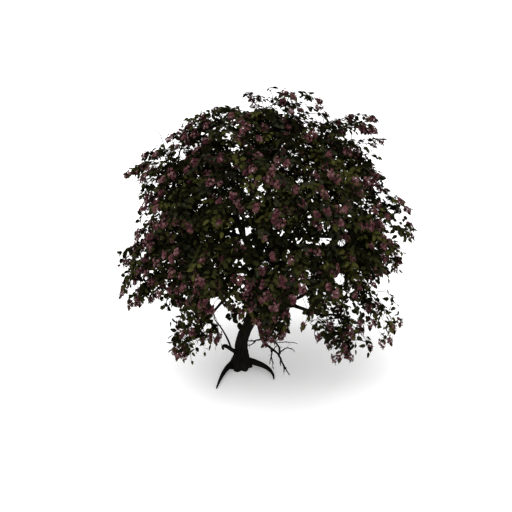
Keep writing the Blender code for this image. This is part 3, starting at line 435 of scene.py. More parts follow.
BOUGHS = (
    Bough("leader_bough", "trunk", 1.00, "crown_top", 0.084, 0.040, lift=1.0),
    Bough("upper_left_bough", "trunk", 0.94, "upper_left_mass", 0.066, 0.034, lift=0.9),
    Bough("upper_right_bough", "trunk", 0.90, "upper_right_mass", 0.070, 0.034, lift=0.5),
    Bough("low_right_bough", "trunk", 0.53, "weeping_right_mass", 0.062, 0.030, lift=0.55),
    Bough("low_left_bough", "trunk", 0.73, "weeping_left_mass", 0.048, 0.026, lift=0.45),
    Bough("left_bough", "trunk", 0.78, "low_left_mass", 0.058, 0.030, lift=0.45),
    Bough("front_left_bough", "trunk", 0.84, "front_low_left_mass", 0.054, 0.030, lift=0.55),
    Bough("front_right_bough", "trunk", 0.76, "front_low_right_mass", 0.056, 0.030, lift=0.60),
    Bough("back_left_bough", "trunk", 0.87, "back_low_left_mass", 0.054, 0.030, lift=0.60),
    Bough("back_bough", "trunk", 0.79, "back_low_middle_mass", 0.054, 0.030, lift=0.60),
    Bough("back_right_bough", "trunk", 0.70, "back_low_right_mass", 0.056, 0.030, lift=0.60),
    Bough("right_bough", "upper_right_bough", 0.30, "outer_right_mass", 0.048, 0.028, lift=0.2),
    Bough("outer_left_bough", "upper_left_bough", 0.42, "outer_left_mass", 0.040, 0.026, lift=0.5),
    Bough("mid_left_bough", "upper_left_bough", 0.24, "mid_left_mass", 0.042, 0.027, lift=0.3),
    Bough("front_upper_left_bough", "front_left_bough", 0.34, "front_upper_left_mass",
          0.040, 0.026, lift=0.9),
    Bough("front_upper_right_bough", "front_right_bough", 0.34, "front_upper_right_mass",
          0.040, 0.026, lift=0.9),
    Bough("front_side_bough", "low_right_bough", 0.48, "front_side_mass", 0.038, 0.025, lift=0.6),
    Bough("front_hanging_bough", "front_right_bough", 0.20, "front_hanging_mass", 0.030, 0.020, lift=0.1),
    Bough("back_upper_bough", "leader_bough", 0.30, "back_upper_mass", 0.044, 0.028, lift=0.6),
    Bough("back_mid_left_bough", "back_left_bough", 0.36, "back_left_mass", 0.040, 0.026, lift=0.8),
    Bough("back_mid_right_bough", "back_right_bough", 0.36, "back_right_mass", 0.042, 0.026, lift=0.9),
)


# ------------------------------------------------------------------ the skeleton

@dataclass(frozen=True)
class Opening:
    """A clear way through the crown, where the sky shows between the boughs."""

    point: Point
    heading: Point
    radius: float


OPENINGS = (
    Opening((0.34, 0.0, 0.93), (-0.002, 0.899, -0.439), 0.15),
    Opening((0.38, 0.0, 0.67), (0.000, 0.892, -0.451), 0.14),
    Opening((1.44, 0.0, 1.70), (0.064, 0.914, -0.400), 0.15),
    Opening((1.31, 0.0, 1.42), (0.056, 0.909, -0.414), 0.16),
    Opening((1.29, 0.0, 1.11), (0.055, 0.902, -0.429), 0.14),
    Opening((0.09, 0.0, 3.11), (-0.018, 0.946, -0.325), 0.10),
    Opening((-0.02, 0.0, 3.69), (-0.025, 0.956, -0.291), 0.09),
    Opening((0.18, 0.0, 3.41), (-0.013, 0.951, -0.307), 0.08),
    Opening((-0.54, 0.0, 1.65), (-0.056, 0.914, -0.403), 0.14),
    Opening((-0.48, 0.0, 1.32), (-0.052, 0.906, -0.419), 0.16),
    Opening((-0.32, 0.0, 1.01), (-0.042, 0.900, -0.435), 0.14),
    Opening((-0.28, 0.0, 0.75), (-0.039, 0.894, -0.447), 0.16),
    Opening((1.88, 0.0, 3.18), (0.094, 0.943, -0.319), 0.10),
    Opening((2.32, 0.0, 3.11), (0.121, 0.939, -0.322), 0.11),
    Opening((2.29, 0.0, 2.24), (0.117, 0.922, -0.370), 0.14),
    Opening((-1.18, 0.0, 5.06), (-0.101, 0.973, -0.208), 0.09),
    Opening((-1.79, 0.0, 4.48), (-0.139, 0.960, -0.242), 0.08),
    Opening((-0.14, 0.0, 4.88), (-0.033, 0.975, -0.220), 0.08),
    Opening((1.33, 0.0, 4.51), (0.061, 0.968, -0.242), 0.08),
)


@dataclass
class Limb:
    """A limb's centre line as a Bezier curve, and its radii at evenly spaced steps."""

    name: str
    control: np.ndarray
    radii: np.ndarray

    @property
    def line(self) -> np.ndarray:
        """Points on the centre line, one for each radius."""
        return bezier(self.control, len(self.radii))

    def end(self) -> tuple[np.ndarray, np.ndarray, float]:
        """Where a mass's stem starts: the limb's end, its heading there and its radius."""
        line = self.line
        return line[-1], unit(line[-1] - line[-2]), float(self.radii[-1])


@dataclass
class Skeleton:
    """Every limb of the tree, laid out by the rule that shaped the solids."""

    stations: np.ndarray = field(default_factory=lambda: np.array([
        (0.00, 0.00, 0.00, 0.262),
        (0.10, 0.00, 0.00, 0.238),
        (0.22, 0.01, 0.00, 0.205),
        (0.38, 0.03, 0.00, 0.166),
        (0.60, 0.03, 0.00, 0.150),
        (0.90, 0.11, 0.00, 0.146),
        (1.20, 0.25, 0.00, 0.142),
        (1.60, 0.32, 0.01, 0.130),
        (2.10, 0.36, 0.03, 0.118),
        (2.60, 0.39, 0.05, 0.106),
        (2.95, 0.42, 0.06, 0.098),
    ]))
    trunk_rings: int = 15
    root_steps: int = 8
    limb_steps: int = 8
    bough_entry: float = 0.62
    collar: float = 0.18
    collar_fade: float = 9.0
    taper_power: float = 0.85
    leave_reach: float = 0.42
    arrive_reach: float = 0.34
    follow: float = 0.25
    dead_limb: Curve = ((0.32, -0.02, 1.46), (0.44, -0.20, 1.34), (0.47, -0.40, 1.12), (0.51, -0.46, 0.97))
    dead_limb_radii: Span = (0.050, 0.038)
    dead_stem: Curve = ((0.51, -0.46, 0.97), (0.58, -0.52, 0.86), (0.76, -0.62, 0.80), (0.91, -0.75, 0.69))
    dead_stem_radii: Span = (0.034, 0.022)
    dead_stem_steps: int = 7
    dead_stem_lead: float = 0.12
    stub: Curve = ((0.00, 0.00, 0.34), (-0.14, -0.01, 0.40), (-0.26, -0.03, 0.52), (-0.335, -0.05, 0.57))
    stub_radii: Span = (0.058, 0.040)
    stub_steps: int = 6
    shoot: Curve = ((-0.20, -0.02, 0.46), (-0.27, -0.04, 0.75), (-0.38, -0.08, 1.00), (-0.56, -0.14, 1.28))
    shoot_radii: Span = (0.026, 0.014)
    limbs: dict[str, Limb] = field(default_factory=dict)
    lines: dict[str, tuple[np.ndarray, np.ndarray]] = field(default_factory=dict)

    def __post_init__(self) -> None:
        """Lays out the trunk, the roots, the boughs and the low limbs."""
        height, lean, forward, radius = smooth_stations(self.stations, self.trunk_rings).T
        self.lines["trunk"] = (np.stack([lean, forward, height], axis=1), radius)
        for k, root in enumerate(ROOTS):
            self.lines[f"root_{k}"] = root.line(self.root_steps)
        masses = {mass.name: mass for mass in MASSES}
        for bough in BOUGHS:
            self.add(self.lay_out(bough, masses[bough.mass]))
        self.add(Limb("dead_limb", np.array(self.dead_limb), self.taper(*self.dead_limb_radii)))
        point, heading, _ = self.limbs["dead_limb"].end()
        stem = np.array(self.dead_stem)
        stem[0] = point + heading * CLEARANCE
        stem[1] = stem[0] + heading * self.dead_stem_lead
        self.add(Limb("bare_twigs", stem, np.linspace(*self.dead_stem_radii, self.dead_stem_steps)))
        self.add(Limb("broken_stub", np.array(self.stub), np.linspace(*self.stub_radii, self.stub_steps)))
        self.add(Limb("low_shoot", np.array(self.shoot), np.linspace(*self.shoot_radii, self.limb_steps)))

    def add(self, limb: Limb) -> None:
        """Keeps a limb, and the line that foliage stays clear of."""
        self.limbs[limb.name] = limb
        self.lines[limb.name] = (limb.line, limb.radii)

    def taper(self, base: float, tip: float, collar: bool = True) -> np.ndarray:
        """Works out radii that shrink as (1 - share)^taper_power, with a swollen collar at the foot.

        Args:
            base: Radius at the foot, before the collar.
            tip: Radius at the end.
            collar: Whether the foot swells where it leaves its parent.

        Returns:
            One radius for each step.
        """
        share = np.linspace(0, 1, self.limb_steps)
        radii = tip + (base - tip) * (1 - share) ** self.taper_power
        return radii * (1 + self.collar * np.exp(-share * self.collar_fade)) if collar else radii

    def lay_out(self, bough: Bough, mass: Mass) -> Limb:
        """Works out a bough's path: out and up from its parent, arching over towards its mass.

        Args:
            bough: The bough's sizes.
            mass: The mass that it carries.

        Returns:
            The bough as a limb.
        """
        centre, half = np.array(mass.centre), np.array(mass.half)
        start, heading = point_along(self.lines[bough.parent][0], bough.along)
        outward = unit(start - centre)
        entry = centre + outward * self.bough_entry / np.linalg.norm(outward / half)
        gap = np.linalg.norm(entry - start)
        flat = unit((entry - start) * (1, 1, 0))
        sag = np.array([0, 0, 0.25 - 0.5 * mass.weeping])
        arrive = unit(unit(centre - entry) + 0.5 * unit(entry - start) + sag)
        if bough.leads:
            start = start + np.array([0, 0, CLEARANCE])
            leave = heading
        else:
            leave = unit(flat + np.array([0, 0, bough.lift]) + self.follow * heading)
        after, before = start + leave * self.leave_reach * gap, entry - arrive * self.arrive_reach * gap
        radii = self.taper(bough.base_radius, bough.tip_radius, not bough.leads)
        return Limb(bough.name, np.array([start, after, before, entry]), radii)

    def clearance(self, samples: np.ndarray) -> np.ndarray:
        """Measures how far points lie from the surface of the nearest limb.

        Args:
            samples: Points, (N, 3).

        Returns:
            One gap for each point, below 0 inside a limb.
        """
        nearest = np.full(len(samples), np.inf)
        for points, radii in self.lines.values():
            start, step = points[:-1], np.diff(points, axis=0)
            square = np.maximum((step ** 2).sum(1), 1e-12)
            to = samples[:, None] - start[None]
            t = np.clip((to * step).sum(2) / square, 0, 1)
            gap = np.linalg.norm(to - t[..., None] * step, axis=2)
            limb = radii[:-1] + (radii[1:] - radii[:-1]) * t
            nearest = np.minimum(nearest, (gap - limb).min(1))
        return nearest


@dataclass
class Spaces:
    """Shares the crown out: each mass has its own ellipsoid, cut where a neighbour's begins."""

    masses: tuple[Mass, ...]
    crown_centre: np.ndarray = field(default_factory=lambda: np.array([0.55, 0.0, 3.4]))
    crown_half: np.ndarray = field(default_factory=lambda: np.array([3.3, 3.1, 3.1]))
    crown_height: float = 6.42
    shared_depth: float = 0.86
    shared_height: float = 2.05
    top_ease: float = 0.16
    box: tuple[Point, Point] = ((-2.76, -3.10, 0.03), (4.04, 3.20, 6.60))
    ground_margin: float = 0.05

    def __post_init__(self) -> None:
        """Gathers the masses' sizes into arrays."""
        self.centres = np.array([mass.centre for mass in self.masses], float)
        self.halves = np.array([mass.half for mass in self.masses], float)
        self.reaches = np.array([mass.reach for mass in self.masses])

    def holds(self, mass: Mass, points: np.ndarray, margin: float) -> np.ndarray:
        """Tells which points lie in the mass's own space.

        Args:
            mass: Whose space.
            points: (N, 3).
            margin: Least gap to a neighbour's space.

        Returns:
            True or False for each point.
        """
        own = self.masses.index(mass)
        inside = (((points - self.centres[own]) / self.halves[own]) ** 2).sum(1) < 1
        power = ((points[:, None] - self.centres[None]) ** 2).sum(2) - self.reaches ** 2
        apart = 2 * np.linalg.norm(self.centres - self.centres[own], axis=1)
        apart[own] = 1.0
        beyond = (power - power[:, own:own + 1]) / apart > margin
        beyond[:, own] = True
        return inside & beyond.all(1) & (points[:, 2] > self.ground_margin)

    def within_reach(self, points: np.ndarray, own: np.ndarray, grown: np.ndarray | float) -> np.ndarray:
        """Tells which points lie in their own mass's ellipsoid, or deep in the crown, which masses share.

        Args:
            points: (N, 3).
            own: Number of each point's mass, (N,).
            grown: Size of the ellipsoid as a share of its own.

        Returns:
            True or False for each point.
        """
        offset = (points - self.centres[own]) / self.halves[own]
        level = (points[:, 2] > self.ground_margin) & (points[:, 2] < self.crown_height)
        within = (offset ** 2).sum(-1) < grown ** 2
        inner = (self.depth(points) < self.shared_depth) & (points[:, 2] > self.shared_height)
        return (within | inner) & level

    def under_top(self, points: np.ndarray) -> np.ndarray:
        """Presses points smoothly under the crown's height h.

        Where z is above low = h - ease, it becomes low + ease tanh((z - low) / ease).

        Args:
            points: (..., 3).

        Returns:
            The points, pressed down.
        """
        pressed = np.array(points, float)
        low = self.crown_height - self.top_ease
        over = np.clip(pressed[..., 2] - low, 0, None) / self.top_ease
        pressed[..., 2] = np.minimum(pressed[..., 2], low) + self.top_ease * np.tanh(over)
        return pressed

    def within_box(self, points: np.ndarray) -> np.ndarray:
        """Tells which points lie in the box that the whole tree keeps to, (N,)."""
        return ((points > np.array(self.box[0])) & (points < np.array(self.box[1]))).all(1)

    def clear_of_openings(self, points: np.ndarray) -> np.ndarray:
        """Tells which points lie outside every opening: their distance from its line is above its radius.

        Args:
            points: (N, 3).

        Returns:
            True or False for each point.
        """
        clear = np.ones(len(points), bool)
        for opening in OPENINGS:
            to = points - np.array(opening.point)
            heading = unit(np.array(opening.heading))
            clear &= np.linalg.norm(to - (to @ heading)[:, None] * heading, axis=1) > opening.radius
        return clear

    def depth(self, points: np.ndarray) -> np.ndarray:
        """How far out in the crown points lie: 0 at its middle and 1 on its outline."""
        return np.linalg.norm((points - self.crown_centre) / self.crown_half, axis=-1)

    def outward(self, points: np.ndarray, rise: float = 1.0) -> np.ndarray:
        """Unit directions from the crown's middle to points, with their upward share times rise."""
        return unit((points - self.crown_centre) * (1.0, 1.0, rise))


@dataclass
class Growth:
    """Grows one mass from its stem: first the solids' own joints, then finer ones between them."""

    mass: Mass
    limb: Limb
    skeleton: Skeleton
    spaces: Spaces
    tip_jitter: float = 0.04
    tip_depths: Span = (0.50, 0.98)
    tip_phase: float = 0.35
    tip_margin: float = 0.03
    twig_margin: float = 0.02
    stem_share: float = 0.7
    joint_spacing: float = 0.40
    path_weight: float = 0.15
    climb_cost: float = 0.3
    turn_cost: float = 0.25
    twig_rise: float = 0.55
    twig_droop: float = 0.90
    crown_bare: float = 0.36
    twig_radius: float = 0.0095
    twig_reach: float = 0.36
    twig_steps: int = 7
    limb_margin: float = 0.012
    tries: int = 4
    fine_tips: int = 70
    fine_spacing: float = 0.20
    fine_depths: Span = (0.20, 0.97)
    fine_phase: float = 0.71
    fine_crown: float = 0.90
    fine_bare: float = 0.30
    fine_margin: float = -0.12

    def __post_init__(self) -> None:
        """Starts at the end of the limb that carries the mass."""
        point, heading, self.foot_radius = self.limb.end()
        self.joints = [point + heading * CLEARANCE]
        self.parents = [-1]
        self.headings = [heading]
        self.lengths = [0.0]
        self.controls = [np.zeros((4, 3))]

    def grow(self) -> None:
        """Joins the solids' joints to the stem, and then the finer ones."""
        centre = np.array(self.mass.centre)
        place = [int(1000 * (c + 10)) for c in self.mass.centre]
        rng = draws(*place)
        self.add_joint(self.joints[0] + self.stem_share * (centre - self.joints[0]), 0, self.twig_margin)
        tips = self.candidates(self.mass.tips, self.tip_depths, self.tip_phase)
        tips = tips + rng.normal(0, self.tip_jitter, tips.shape)
        self.join_all(tips, self.tip_margin, self.crown_bare, self.joint_spacing, self.twig_margin)
        count = int(self.fine_tips * (1 - self.mass.sparse))
        fine = self.candidates(count, self.fine_depths, self.fine_phase)
        fine = fine + rng.normal(0, 2 * self.tip_jitter, fine.shape)
        if not self.mass.hangs:
            fine = fine[self.spaces.depth(fine) < self.fine_crown]
        self.join_all(fine, self.fine_margin, self.fine_bare, self.fine_spacing, self.fine_margin)

    def candidates(self, count: int, depths: Span, phase: float) -> np.ndarray:
        """Spreads points through the mass's ellipsoid: a Fibonacci spiral of directions, at varied depths.

        Args:
            count: Number of points.
            depths: Least and most depth, as shares of the way to the rim.
            phase: Where the run of depths starts.

        Returns:
            Points, (count, 3).
        """
        k = np.arange(count)
        rise = 1 - 2 * (k + 0.5) / count
        flat = np.sqrt(1 - rise ** 2)
        turn = k * GOLDEN_ANGLE
        direction = np.stack([flat * np.cos(turn), flat * np.sin(turn), rise], axis=1)
        depth = depths[0] + (depths[1] - depths[0]) * np.sqrt((k * GOLDEN_SHARE + phase) % 1.0)
        return np.array(self.mass.centre) + direction * depth[:, None] * np.array(self.mass.half)

    def join_all(self, tips: np.ndarray, margin: float, bare: float, spacing: float,
                 twig_margin: float) -> None:
        """Joins candidate joints to the growing twigs, nearest first.

        Args:
            tips: Candidates, (N, 3).
            margin: Least gap from a joint to a neighbour's space.
            bare: Inside this share of the crown no twig ends.
            spacing: Least gap between joints, as a share of the mass's reach.
            twig_margin: Least gap from a twig to a neighbour's space.
        """
        tips = tips[self.spaces.holds(self.mass, tips, margin)]
        tips = tips[self.spaces.depth(tips) > bare]
        for tip in tips[np.argsort(np.linalg.norm(tips - self.joints[0], axis=1))]:
            self.join(tip, spacing * self.mass.reach, twig_margin)

    def join(self, tip: np.ndarray, spacing: float, margin: float) -> None:
        """Hangs a joint on the one that costs least: near it, near the foot, and above it if twigs weep.

        Args:
            tip: The new joint.
            spacing: Least gap to any other joint.
            margin: Least gap from its twig to a neighbour's space.
        """
        joints = np.array(self.joints[1:])
        gap = np.linalg.norm(joints - tip, axis=1)
        if gap.min() < spacing:
            return
        climb = np.clip(tip[2] - joints[:, 2], 0, None)
        turn = 1 - ((tip - joints) * np.array(self.headings[1:])).sum(1) / gap
        cost = gap + self.path_weight * np.array(self.lengths[1:])
        cost += (self.climb_cost + self.mass.weeping) * climb + self.turn_cost * turn
        for k in np.argsort(cost)[:self.tries]:
            if self.add_joint(tip, int(k) + 1, margin):
                return

    def twig_control(self, foot: np.ndarray, tip: np.ndarray, parent: int) -> np.ndarray:
        """Shapes a twig: it leaves along its parent, rises a little, then droops into its end.

        Args:
            foot: Where it starts.
            tip: Where it ends.
            parent: Number of the joint that it starts at.

        Returns:
            Four control points.
        """
        gap = np.linalg.norm(tip - foot)
        along = unit(tip - foot)
        leave = self.headings[0]
        if parent:
            rise = np.array([0, 0, self.twig_rise - 0.40 * self.mass.weeping])
            leave = unit(0.45 * self.headings[parent] + along + rise)
        arrive = unit(along - np.array([0, 0, self.twig_droop]))
        after, before = foot + leave * gap * self.twig_reach, tip - arrive * gap * self.twig_reach
        return np.array([foot, after, before, tip])

    def add_joint(self, tip: np.ndarray, parent: int, margin: float) -> bool:
        """Adds a joint if its twig keeps to the space and, past the stem, off the limbs.

        Args:
            tip: The new joint.
            parent: Number of the joint that it hangs on.
            margin: Least gap from its twig to a neighbour's space.

        Returns:
            Whether it was added.
        """
        control = self.twig_control(self.joints[parent], tip, parent)
        path = bezier(control, self.twig_steps)
        if not self.spaces.holds(self.mass, path[1:], margin).all():
            return False
        if parent and (self.skeleton.clearance(path) < self.twig_radius + self.limb_margin).any():
            return False
        self.joints.append(np.array(tip))
        self.parents.append(parent)
        self.controls.append(control)
        self.headings.append(unit(path[-1] - path[-2]))
        length = float(np.linalg.norm(np.diff(path, axis=0), axis=1).sum())
        self.lengths.append(self.lengths[parent] + length)
        return True

    def loads(self) -> np.ndarray:
        """Counts the twig ends that each joint carries, from the tips down.

        Returns:
            One count for each joint.
        """
        load = np.zeros(len(self.joints))
        for k in range(len(self.joints) - 1, 0, -1):
            load[k] = max(load[k], 1.0)
            load[self.parents[k]] += load[k]
        return load


# ------------------------------------------------------------------ twigs, shoots, leaves and blossom

@dataclass
class Shoots:
    """Many leafy shoots, each a curve of the same number of points that belongs to one mass."""

    paths: np.ndarray
    own: np.ndarray
    lengths: np.ndarray
    blooms: np.ndarray
    twigs: np.ndarray

    @staticmethod
    def joined(groups: list[Shoots]) -> Shoots:
        """Puts several groups of shoots together."""
        names = ("paths", "own", "lengths", "blooms", "twigs")
        return Shoots(*(np.concatenate([getattr(group, name) for group in groups]) for name in names))


@dataclass
class TwigWork:
    """The woody twigs of all masses, and the arching leafy shoots that they carry."""

    skeleton: Skeleton
    spaces: Spaces
    twig_sides: int = 5
    shoot_sides: int = 3
    shoot_steps: int = 6
    pipe_power: float = 2.3
    foot_shares: Span = (0.92, 0.97)
    finest_radius: float = 0.0045
    bend_steps: int = 5
    tip_share: float = 0.5
    shoot_radius: float = 0.0032
    shoot_taper: Span = (1.3, 0.6)
    outward_rise: float = 0.7
    aim_noise: float = 0.18
    side_steps: int = 17
    side_gap: float = 0.15
    side_roll: Span = (-0.5, 1.0)
    side_noise: float = 0.15
    outer_side: float = 0.48
    open_above: float = 3.3
    side_length: Span = (0.24, 0.44)
    spray_length: Span = (0.70, 1.10)
    tip_length: Span = (0.30, 0.52)
    flank_angles: Span = (0.6, 1.3)
    flank_turn: float = 0.75
    flank_bloom: float = 0.75
    scales: tuple[float, ...] = (1.0, 0.82, 0.66, 0.50)
    fall: float = 0.26
    arch: float = 0.42
    limb_gap: float = 0.02
    spray_grown: float = 1.01
    grown: float = 0.90
    rim: float = 0.74
    rim_bloom: float = 0.74
    hanging_bloom: float = 0.95
    inner_bloom: float = 0.22
    side_bloom: float = 0.13
    twigs: MeshParts = field(default_factory=MeshParts)
    stems: MeshParts = field(default_factory=MeshParts)

    def grow_mass(self, number: int, growth: Growth) -> Shoots:
        """Lays bark on one mass's twigs and works out its shoots.

        A twig's radius grows with its load as load^(1 / pipe_power), from the finest up to the foot's.

        Args:
            number: The mass's number among the spaces.
            growth: Its joints.

        Returns:
            The mass's leafy shoots.
        """
        load = growth.loads()
        growth.joints = list(self.spaces.under_top(np.array(growth.joints)))
        growth.controls = list(self.spaces.under_top(np.array(growth.controls)))
        first, foot = self.foot_shares
        finest = first * growth.foot_radius / load[1] ** (1 / self.pipe_power)
        radii = max(finest, self.finest_radius) * load ** (1 / self.pipe_power)
        radii[0] = foot * growth.foot_radius
        radii = np.minimum(radii, radii[0])
        rng = draws(Stream.TWIGS, number)
        tip_shoots = self.tip_shoots(number, growth, rng)
        shoots = Shoots.joined([tip_shoots, self.side_shoots(number, growth, rng)])
        for chain in self.chains(growth, load, shoots):
            self.lay_twig(growth, chain, radii)
        return shoots

    def chains(self, growth: Growth, load: np.ndarray, shoots: Shoots) -> list[list[int]]:
        """Splits the twigs end to end: at each joint the heaviest branch carries on and the others start.

        A twig that bears no shoot, nor any twig that does, is left out.

        Args:
            growth: The mass's joints.
            load: Twig ends that each joint carries.
            shoots: The mass's shoots.

        Returns:
            Lists of joint numbers.
        """
        bearing = np.isin(np.arange(len(growth.joints)), shoots.twigs)
        branches: list[list[int]] = [[] for _ in growth.joints]
        for k in range(len(growth.joints) - 1, 0, -1):
            if bearing[k]:
                branches[growth.parents[k]].insert(0, k)
                bearing[growth.parents[k]] = True
        starts, chains = [(0, 1)], []
        while starts:
            start, k = starts.pop(0)
            chain = [start, k]
            while branches[k]:
                heaviest = max(branches[k], key=lambda branch: load[branch])
                starts += [(k, branch) for branch in branches[k] if branch != heaviest]
                k = heaviest
                chain.append(k)
            chains.append(chain)
        return chains

    def lay_twig(self, growth: Growth, chain: list[int], radii: np.ndarray) -> None:
        """Lays one twig along a chain of joints, its bends eased, thinning from joint to joint.

        Args:
            growth: The mass's joints.
            chain: Joint numbers from foot to tip.
            radii: Radius at each joint.
        """
        line = [growth.joints[chain[0]][None]]
        thickness = [radii[chain[0]] if chain[0] == 0 else radii[chain[1]]]
        for k in chain[1:]:
            line.append(bezier(growth.controls[k], self.bend_steps)[1:])
            thickness += list(np.linspace(thickness[-1], radii[k], self.bend_steps)[1:])
        path, thickness = np.concatenate(line), np.array(thickness)
        thickness[-1] *= self.tip_share
        path[2:-1] = 0.25 * path[1:-2] + 0.5 * path[2:-1] + 0.25 * path[3:]
        self.twigs.add(*tubes(path[None], thickness[None], self.twig_sides))

    def tip_shoots(self, number: int, growth: Growth, rng: np.random.Generator) -> Shoots:
        """Sets shoots on each joint: one that carries its twig on and, at an end, one to either side.

        Args:
            number: The mass's number.
            growth: Its joints.
            rng: Random numbers of this mass.

        Returns:
            The shoots.
        """
        joints = np.array(growth.joints[1:])
        headings = np.array(growth.headings[1:])
        ends = np.array([k not in growth.parents for k in range(1, len(growth.joints))])
        order = np.arange(1, len(growth.joints))
        foot, heading, turn, end, twig = [joints], [headings], [np.zeros(len(joints))], [ends], [order]
        for hand in (-1.0, 1.0):
            flanked = ends & (rng.random(len(ends)) < 1 - growth.mass.sparse)
            foot.append(joints[flanked])
            heading.append(headings[flanked])
            turn.append(hand * rng.uniform(*self.flank_angles, flanked.sum()) * self.flank_turn)
            end.append(ends[flanked])
            twig.append(order[flanked])
        foot, heading = np.concatenate(foot), np.concatenate(heading)
        turn, end = np.concatenate(turn)[:, None], np.concatenate(end)
        outward = self.spaces.outward(foot, self.outward_rise)
        aim = unit(unit(heading) + 0.9 * outward + rng.normal(0, self.aim_noise, foot.shape))
        aim = aim * np.cos(turn) + unit(np.cross(aim, UP)) * np.sin(turn)
        spray = end & (turn[:, 0] == 0)
        sprays, tips = (rng.uniform(*span, len(foot)) for span in (self.spray_length, self.tip_length))
        length = np.where(spray, sprays, tips)
        share = np.where(self.spaces.depth(foot) > self.rim, self.rim_bloom, self.inner_bloom)
        share = self.hanging_bloom if growth.mass.hangs else share
        blooms = rng.random(len(foot)) < share * np.where(turn[:, 0] == 0, 1.0, self.flank_bloom)
        grown = np.where(spray, self.spray_grown, self.grown)
        return self.shoots(number, growth.mass, foot, aim, length, blooms, grown, np.concatenate(twig))

    def side_shoots(self, number: int, growth: Growth, rng: np.random.Generator) -> Shoots:
        """Sets shoots along the twigs, to one side and the other in turn.

        Args:
            number: The mass's number.
            growth: Its joints.
            rng: Random numbers of this mass.

        Returns:
            The shoots.
        """
        feet, aims, twigs = [], [], []
        for k in range(2, len(growth.joints)):
            path = bezier(growth.controls[k], self.side_steps)
            length = np.linalg.norm(np.diff(path, axis=0), axis=1).sum()
            count = max(int(length * (1 - growth.mass.sparse) / self.side_gap), 1)
            at = (np.arange(count) + rng.random()) / count * (self.side_steps - 1.1)
            low = at.astype(int)
            foot = path[low] + (path[low + 1] - path[low]) * (at - low)[:, None]
            along = unit(path[low + 1] - path[low])
            side = unit(np.cross(along, UP)) * np.where(np.arange(count) % 2, 1, -1)[:, None]
            roll = rng.uniform(*self.side_roll, count)[:, None]
            feet.append(foot)
            twigs.append(np.full(count, k))
            aims.append(0.6 * along + 0.9 * side + roll * UP + rng.normal(0, self.side_noise, foot.shape))
        foot, aim, twig = np.concatenate(feet), np.concatenate(aims), np.concatenate(twigs)
        outward = self.spaces.outward(foot, self.outward_rise)
        inner = (self.spaces.depth(foot) < self.rim) | (foot[:, 2] < self.open_above)
        inner |= rng.random(len(foot)) < self.outer_side
        foot, aim, outward, twig = foot[inner], aim[inner], outward[inner], twig[inner]
        length = rng.uniform(*self.side_length, len(foot))
        blooms = rng.random(len(foot)) < self.side_bloom
        grown = np.full(len(foot), self.grown)
        aim = unit(aim) + 0.6 * outward
        return self.shoots(number, growth.mass, foot, aim, length, blooms, grown, twig)

    def shoots(self, number: int, mass: Mass, foot: np.ndarray, aim: np.ndarray, length: np.ndarray,
               blooms: np.ndarray, grown: np.ndarray, twigs: np.ndarray) -> Shoots:
        """Shapes shoots: each rises along its aim and arches over, the shorter where its reach ends.

        Its tip is foot + length (level share of aim - fall), with more fall where the mass weeps.

        Args:
            number: The mass's number.
            mass: The mass.
            foot: Where each starts, (N, 3).
            aim: The way each leaves, (N, 3).
            length: (N,).
            blooms: Whether each ends in blossom, (N,).
            grown: Size of the ellipsoid that each tip keeps to, as a share of the mass's own, (N,).
            twigs: The joint whose twig carries each, (N,).

        Returns:
            Those that keep to the mass's reach and clear of the limbs, and are laid in bark.
        """
        weep = mass.weeping
        aim = unit(aim)
        level = unit(aim * (1.0, 1.0, 0.60))
        reach = (0.90 - 0.45 * weep) * level - (self.fall + 0.55 * weep) * UP
        tips = foot + np.array(self.scales)[:, None, None] * length[None, :, None] * reach
        own = np.full(len(foot), number)
        fits = np.stack([self.spaces.within_reach(tip, own, grown) for tip in tips])
        fits &= np.stack([self.skeleton.clearance(tip) > self.limb_gap for tip in tips])
        fits &= np.stack([self.spaces.clear_of_openings(tip) for tip in tips])
        first = fits.argmax(0)
        kept = fits.any(0)
        length = (length * np.array(self.scales)[first])[kept, None]
        tip = tips[first, np.arange(len(foot))][kept]
        foot, aim, level = foot[kept], aim[kept], level[kept]
        leave = unit(aim + self.arch * (1 - weep) * UP)
        arrive = unit((0.75 - 0.5 * weep) * level - (0.60 + 0.4 * weep) * UP)
        first_run = (0.36 - 0.16 * weep) * length
        control = np.stack([foot, foot + first_run * leave, tip - 0.30 * length * arrive, tip], axis=1)
        paths = bezier(control, self.shoot_steps)
        radii = np.linspace(*self.shoot_taper, self.shoot_steps) * self.shoot_radius
        self.stems.add(*tubes(paths, np.broadcast_to(radii, paths.shape[:2]), self.shoot_sides))
        return Shoots(paths, own[kept], length[:, 0], blooms[kept], twigs[kept])


class LeafTint(Enum):
    """The greens that are dealt out among the shoots, each with its share. SHADE is painted shade: a near-black
    copy of the leaf green, dealt at random, that stands in for the shade deep in the crown.
    """

    SHADE = ("leaves_shade", 0.40)
    OLIVE = ("leaves_olive", 0.32)
    SAGE = ("leaves_sage", 0.15)
    FRESH = ("leaves_fresh", 0.13)


class BlossomTint(Enum):
    """The pinks that are dealt out among the flowers, each with its share."""

    ROSE = ("blossom_rose", 0.38)
    DEEP = ("blossom_deep", 0.33)
    PALE = ("blossom_pale", 0.29)


def deal(kinds: type[Enum], count: int, rng: np.random.Generator) -> np.ndarray:
    """Deals kinds out by their shares.

    Args:
        kinds: An Enum whose values are pairs of a name and a share.
        count: How many to deal to.
        rng: Random numbers.

    Returns:
        The number of a kind for each.
    """
    shares = np.array([kind.value[1] for kind in kinds])
    return np.searchsorted(np.cumsum(shares / shares.sum())[:-1], rng.random(count))


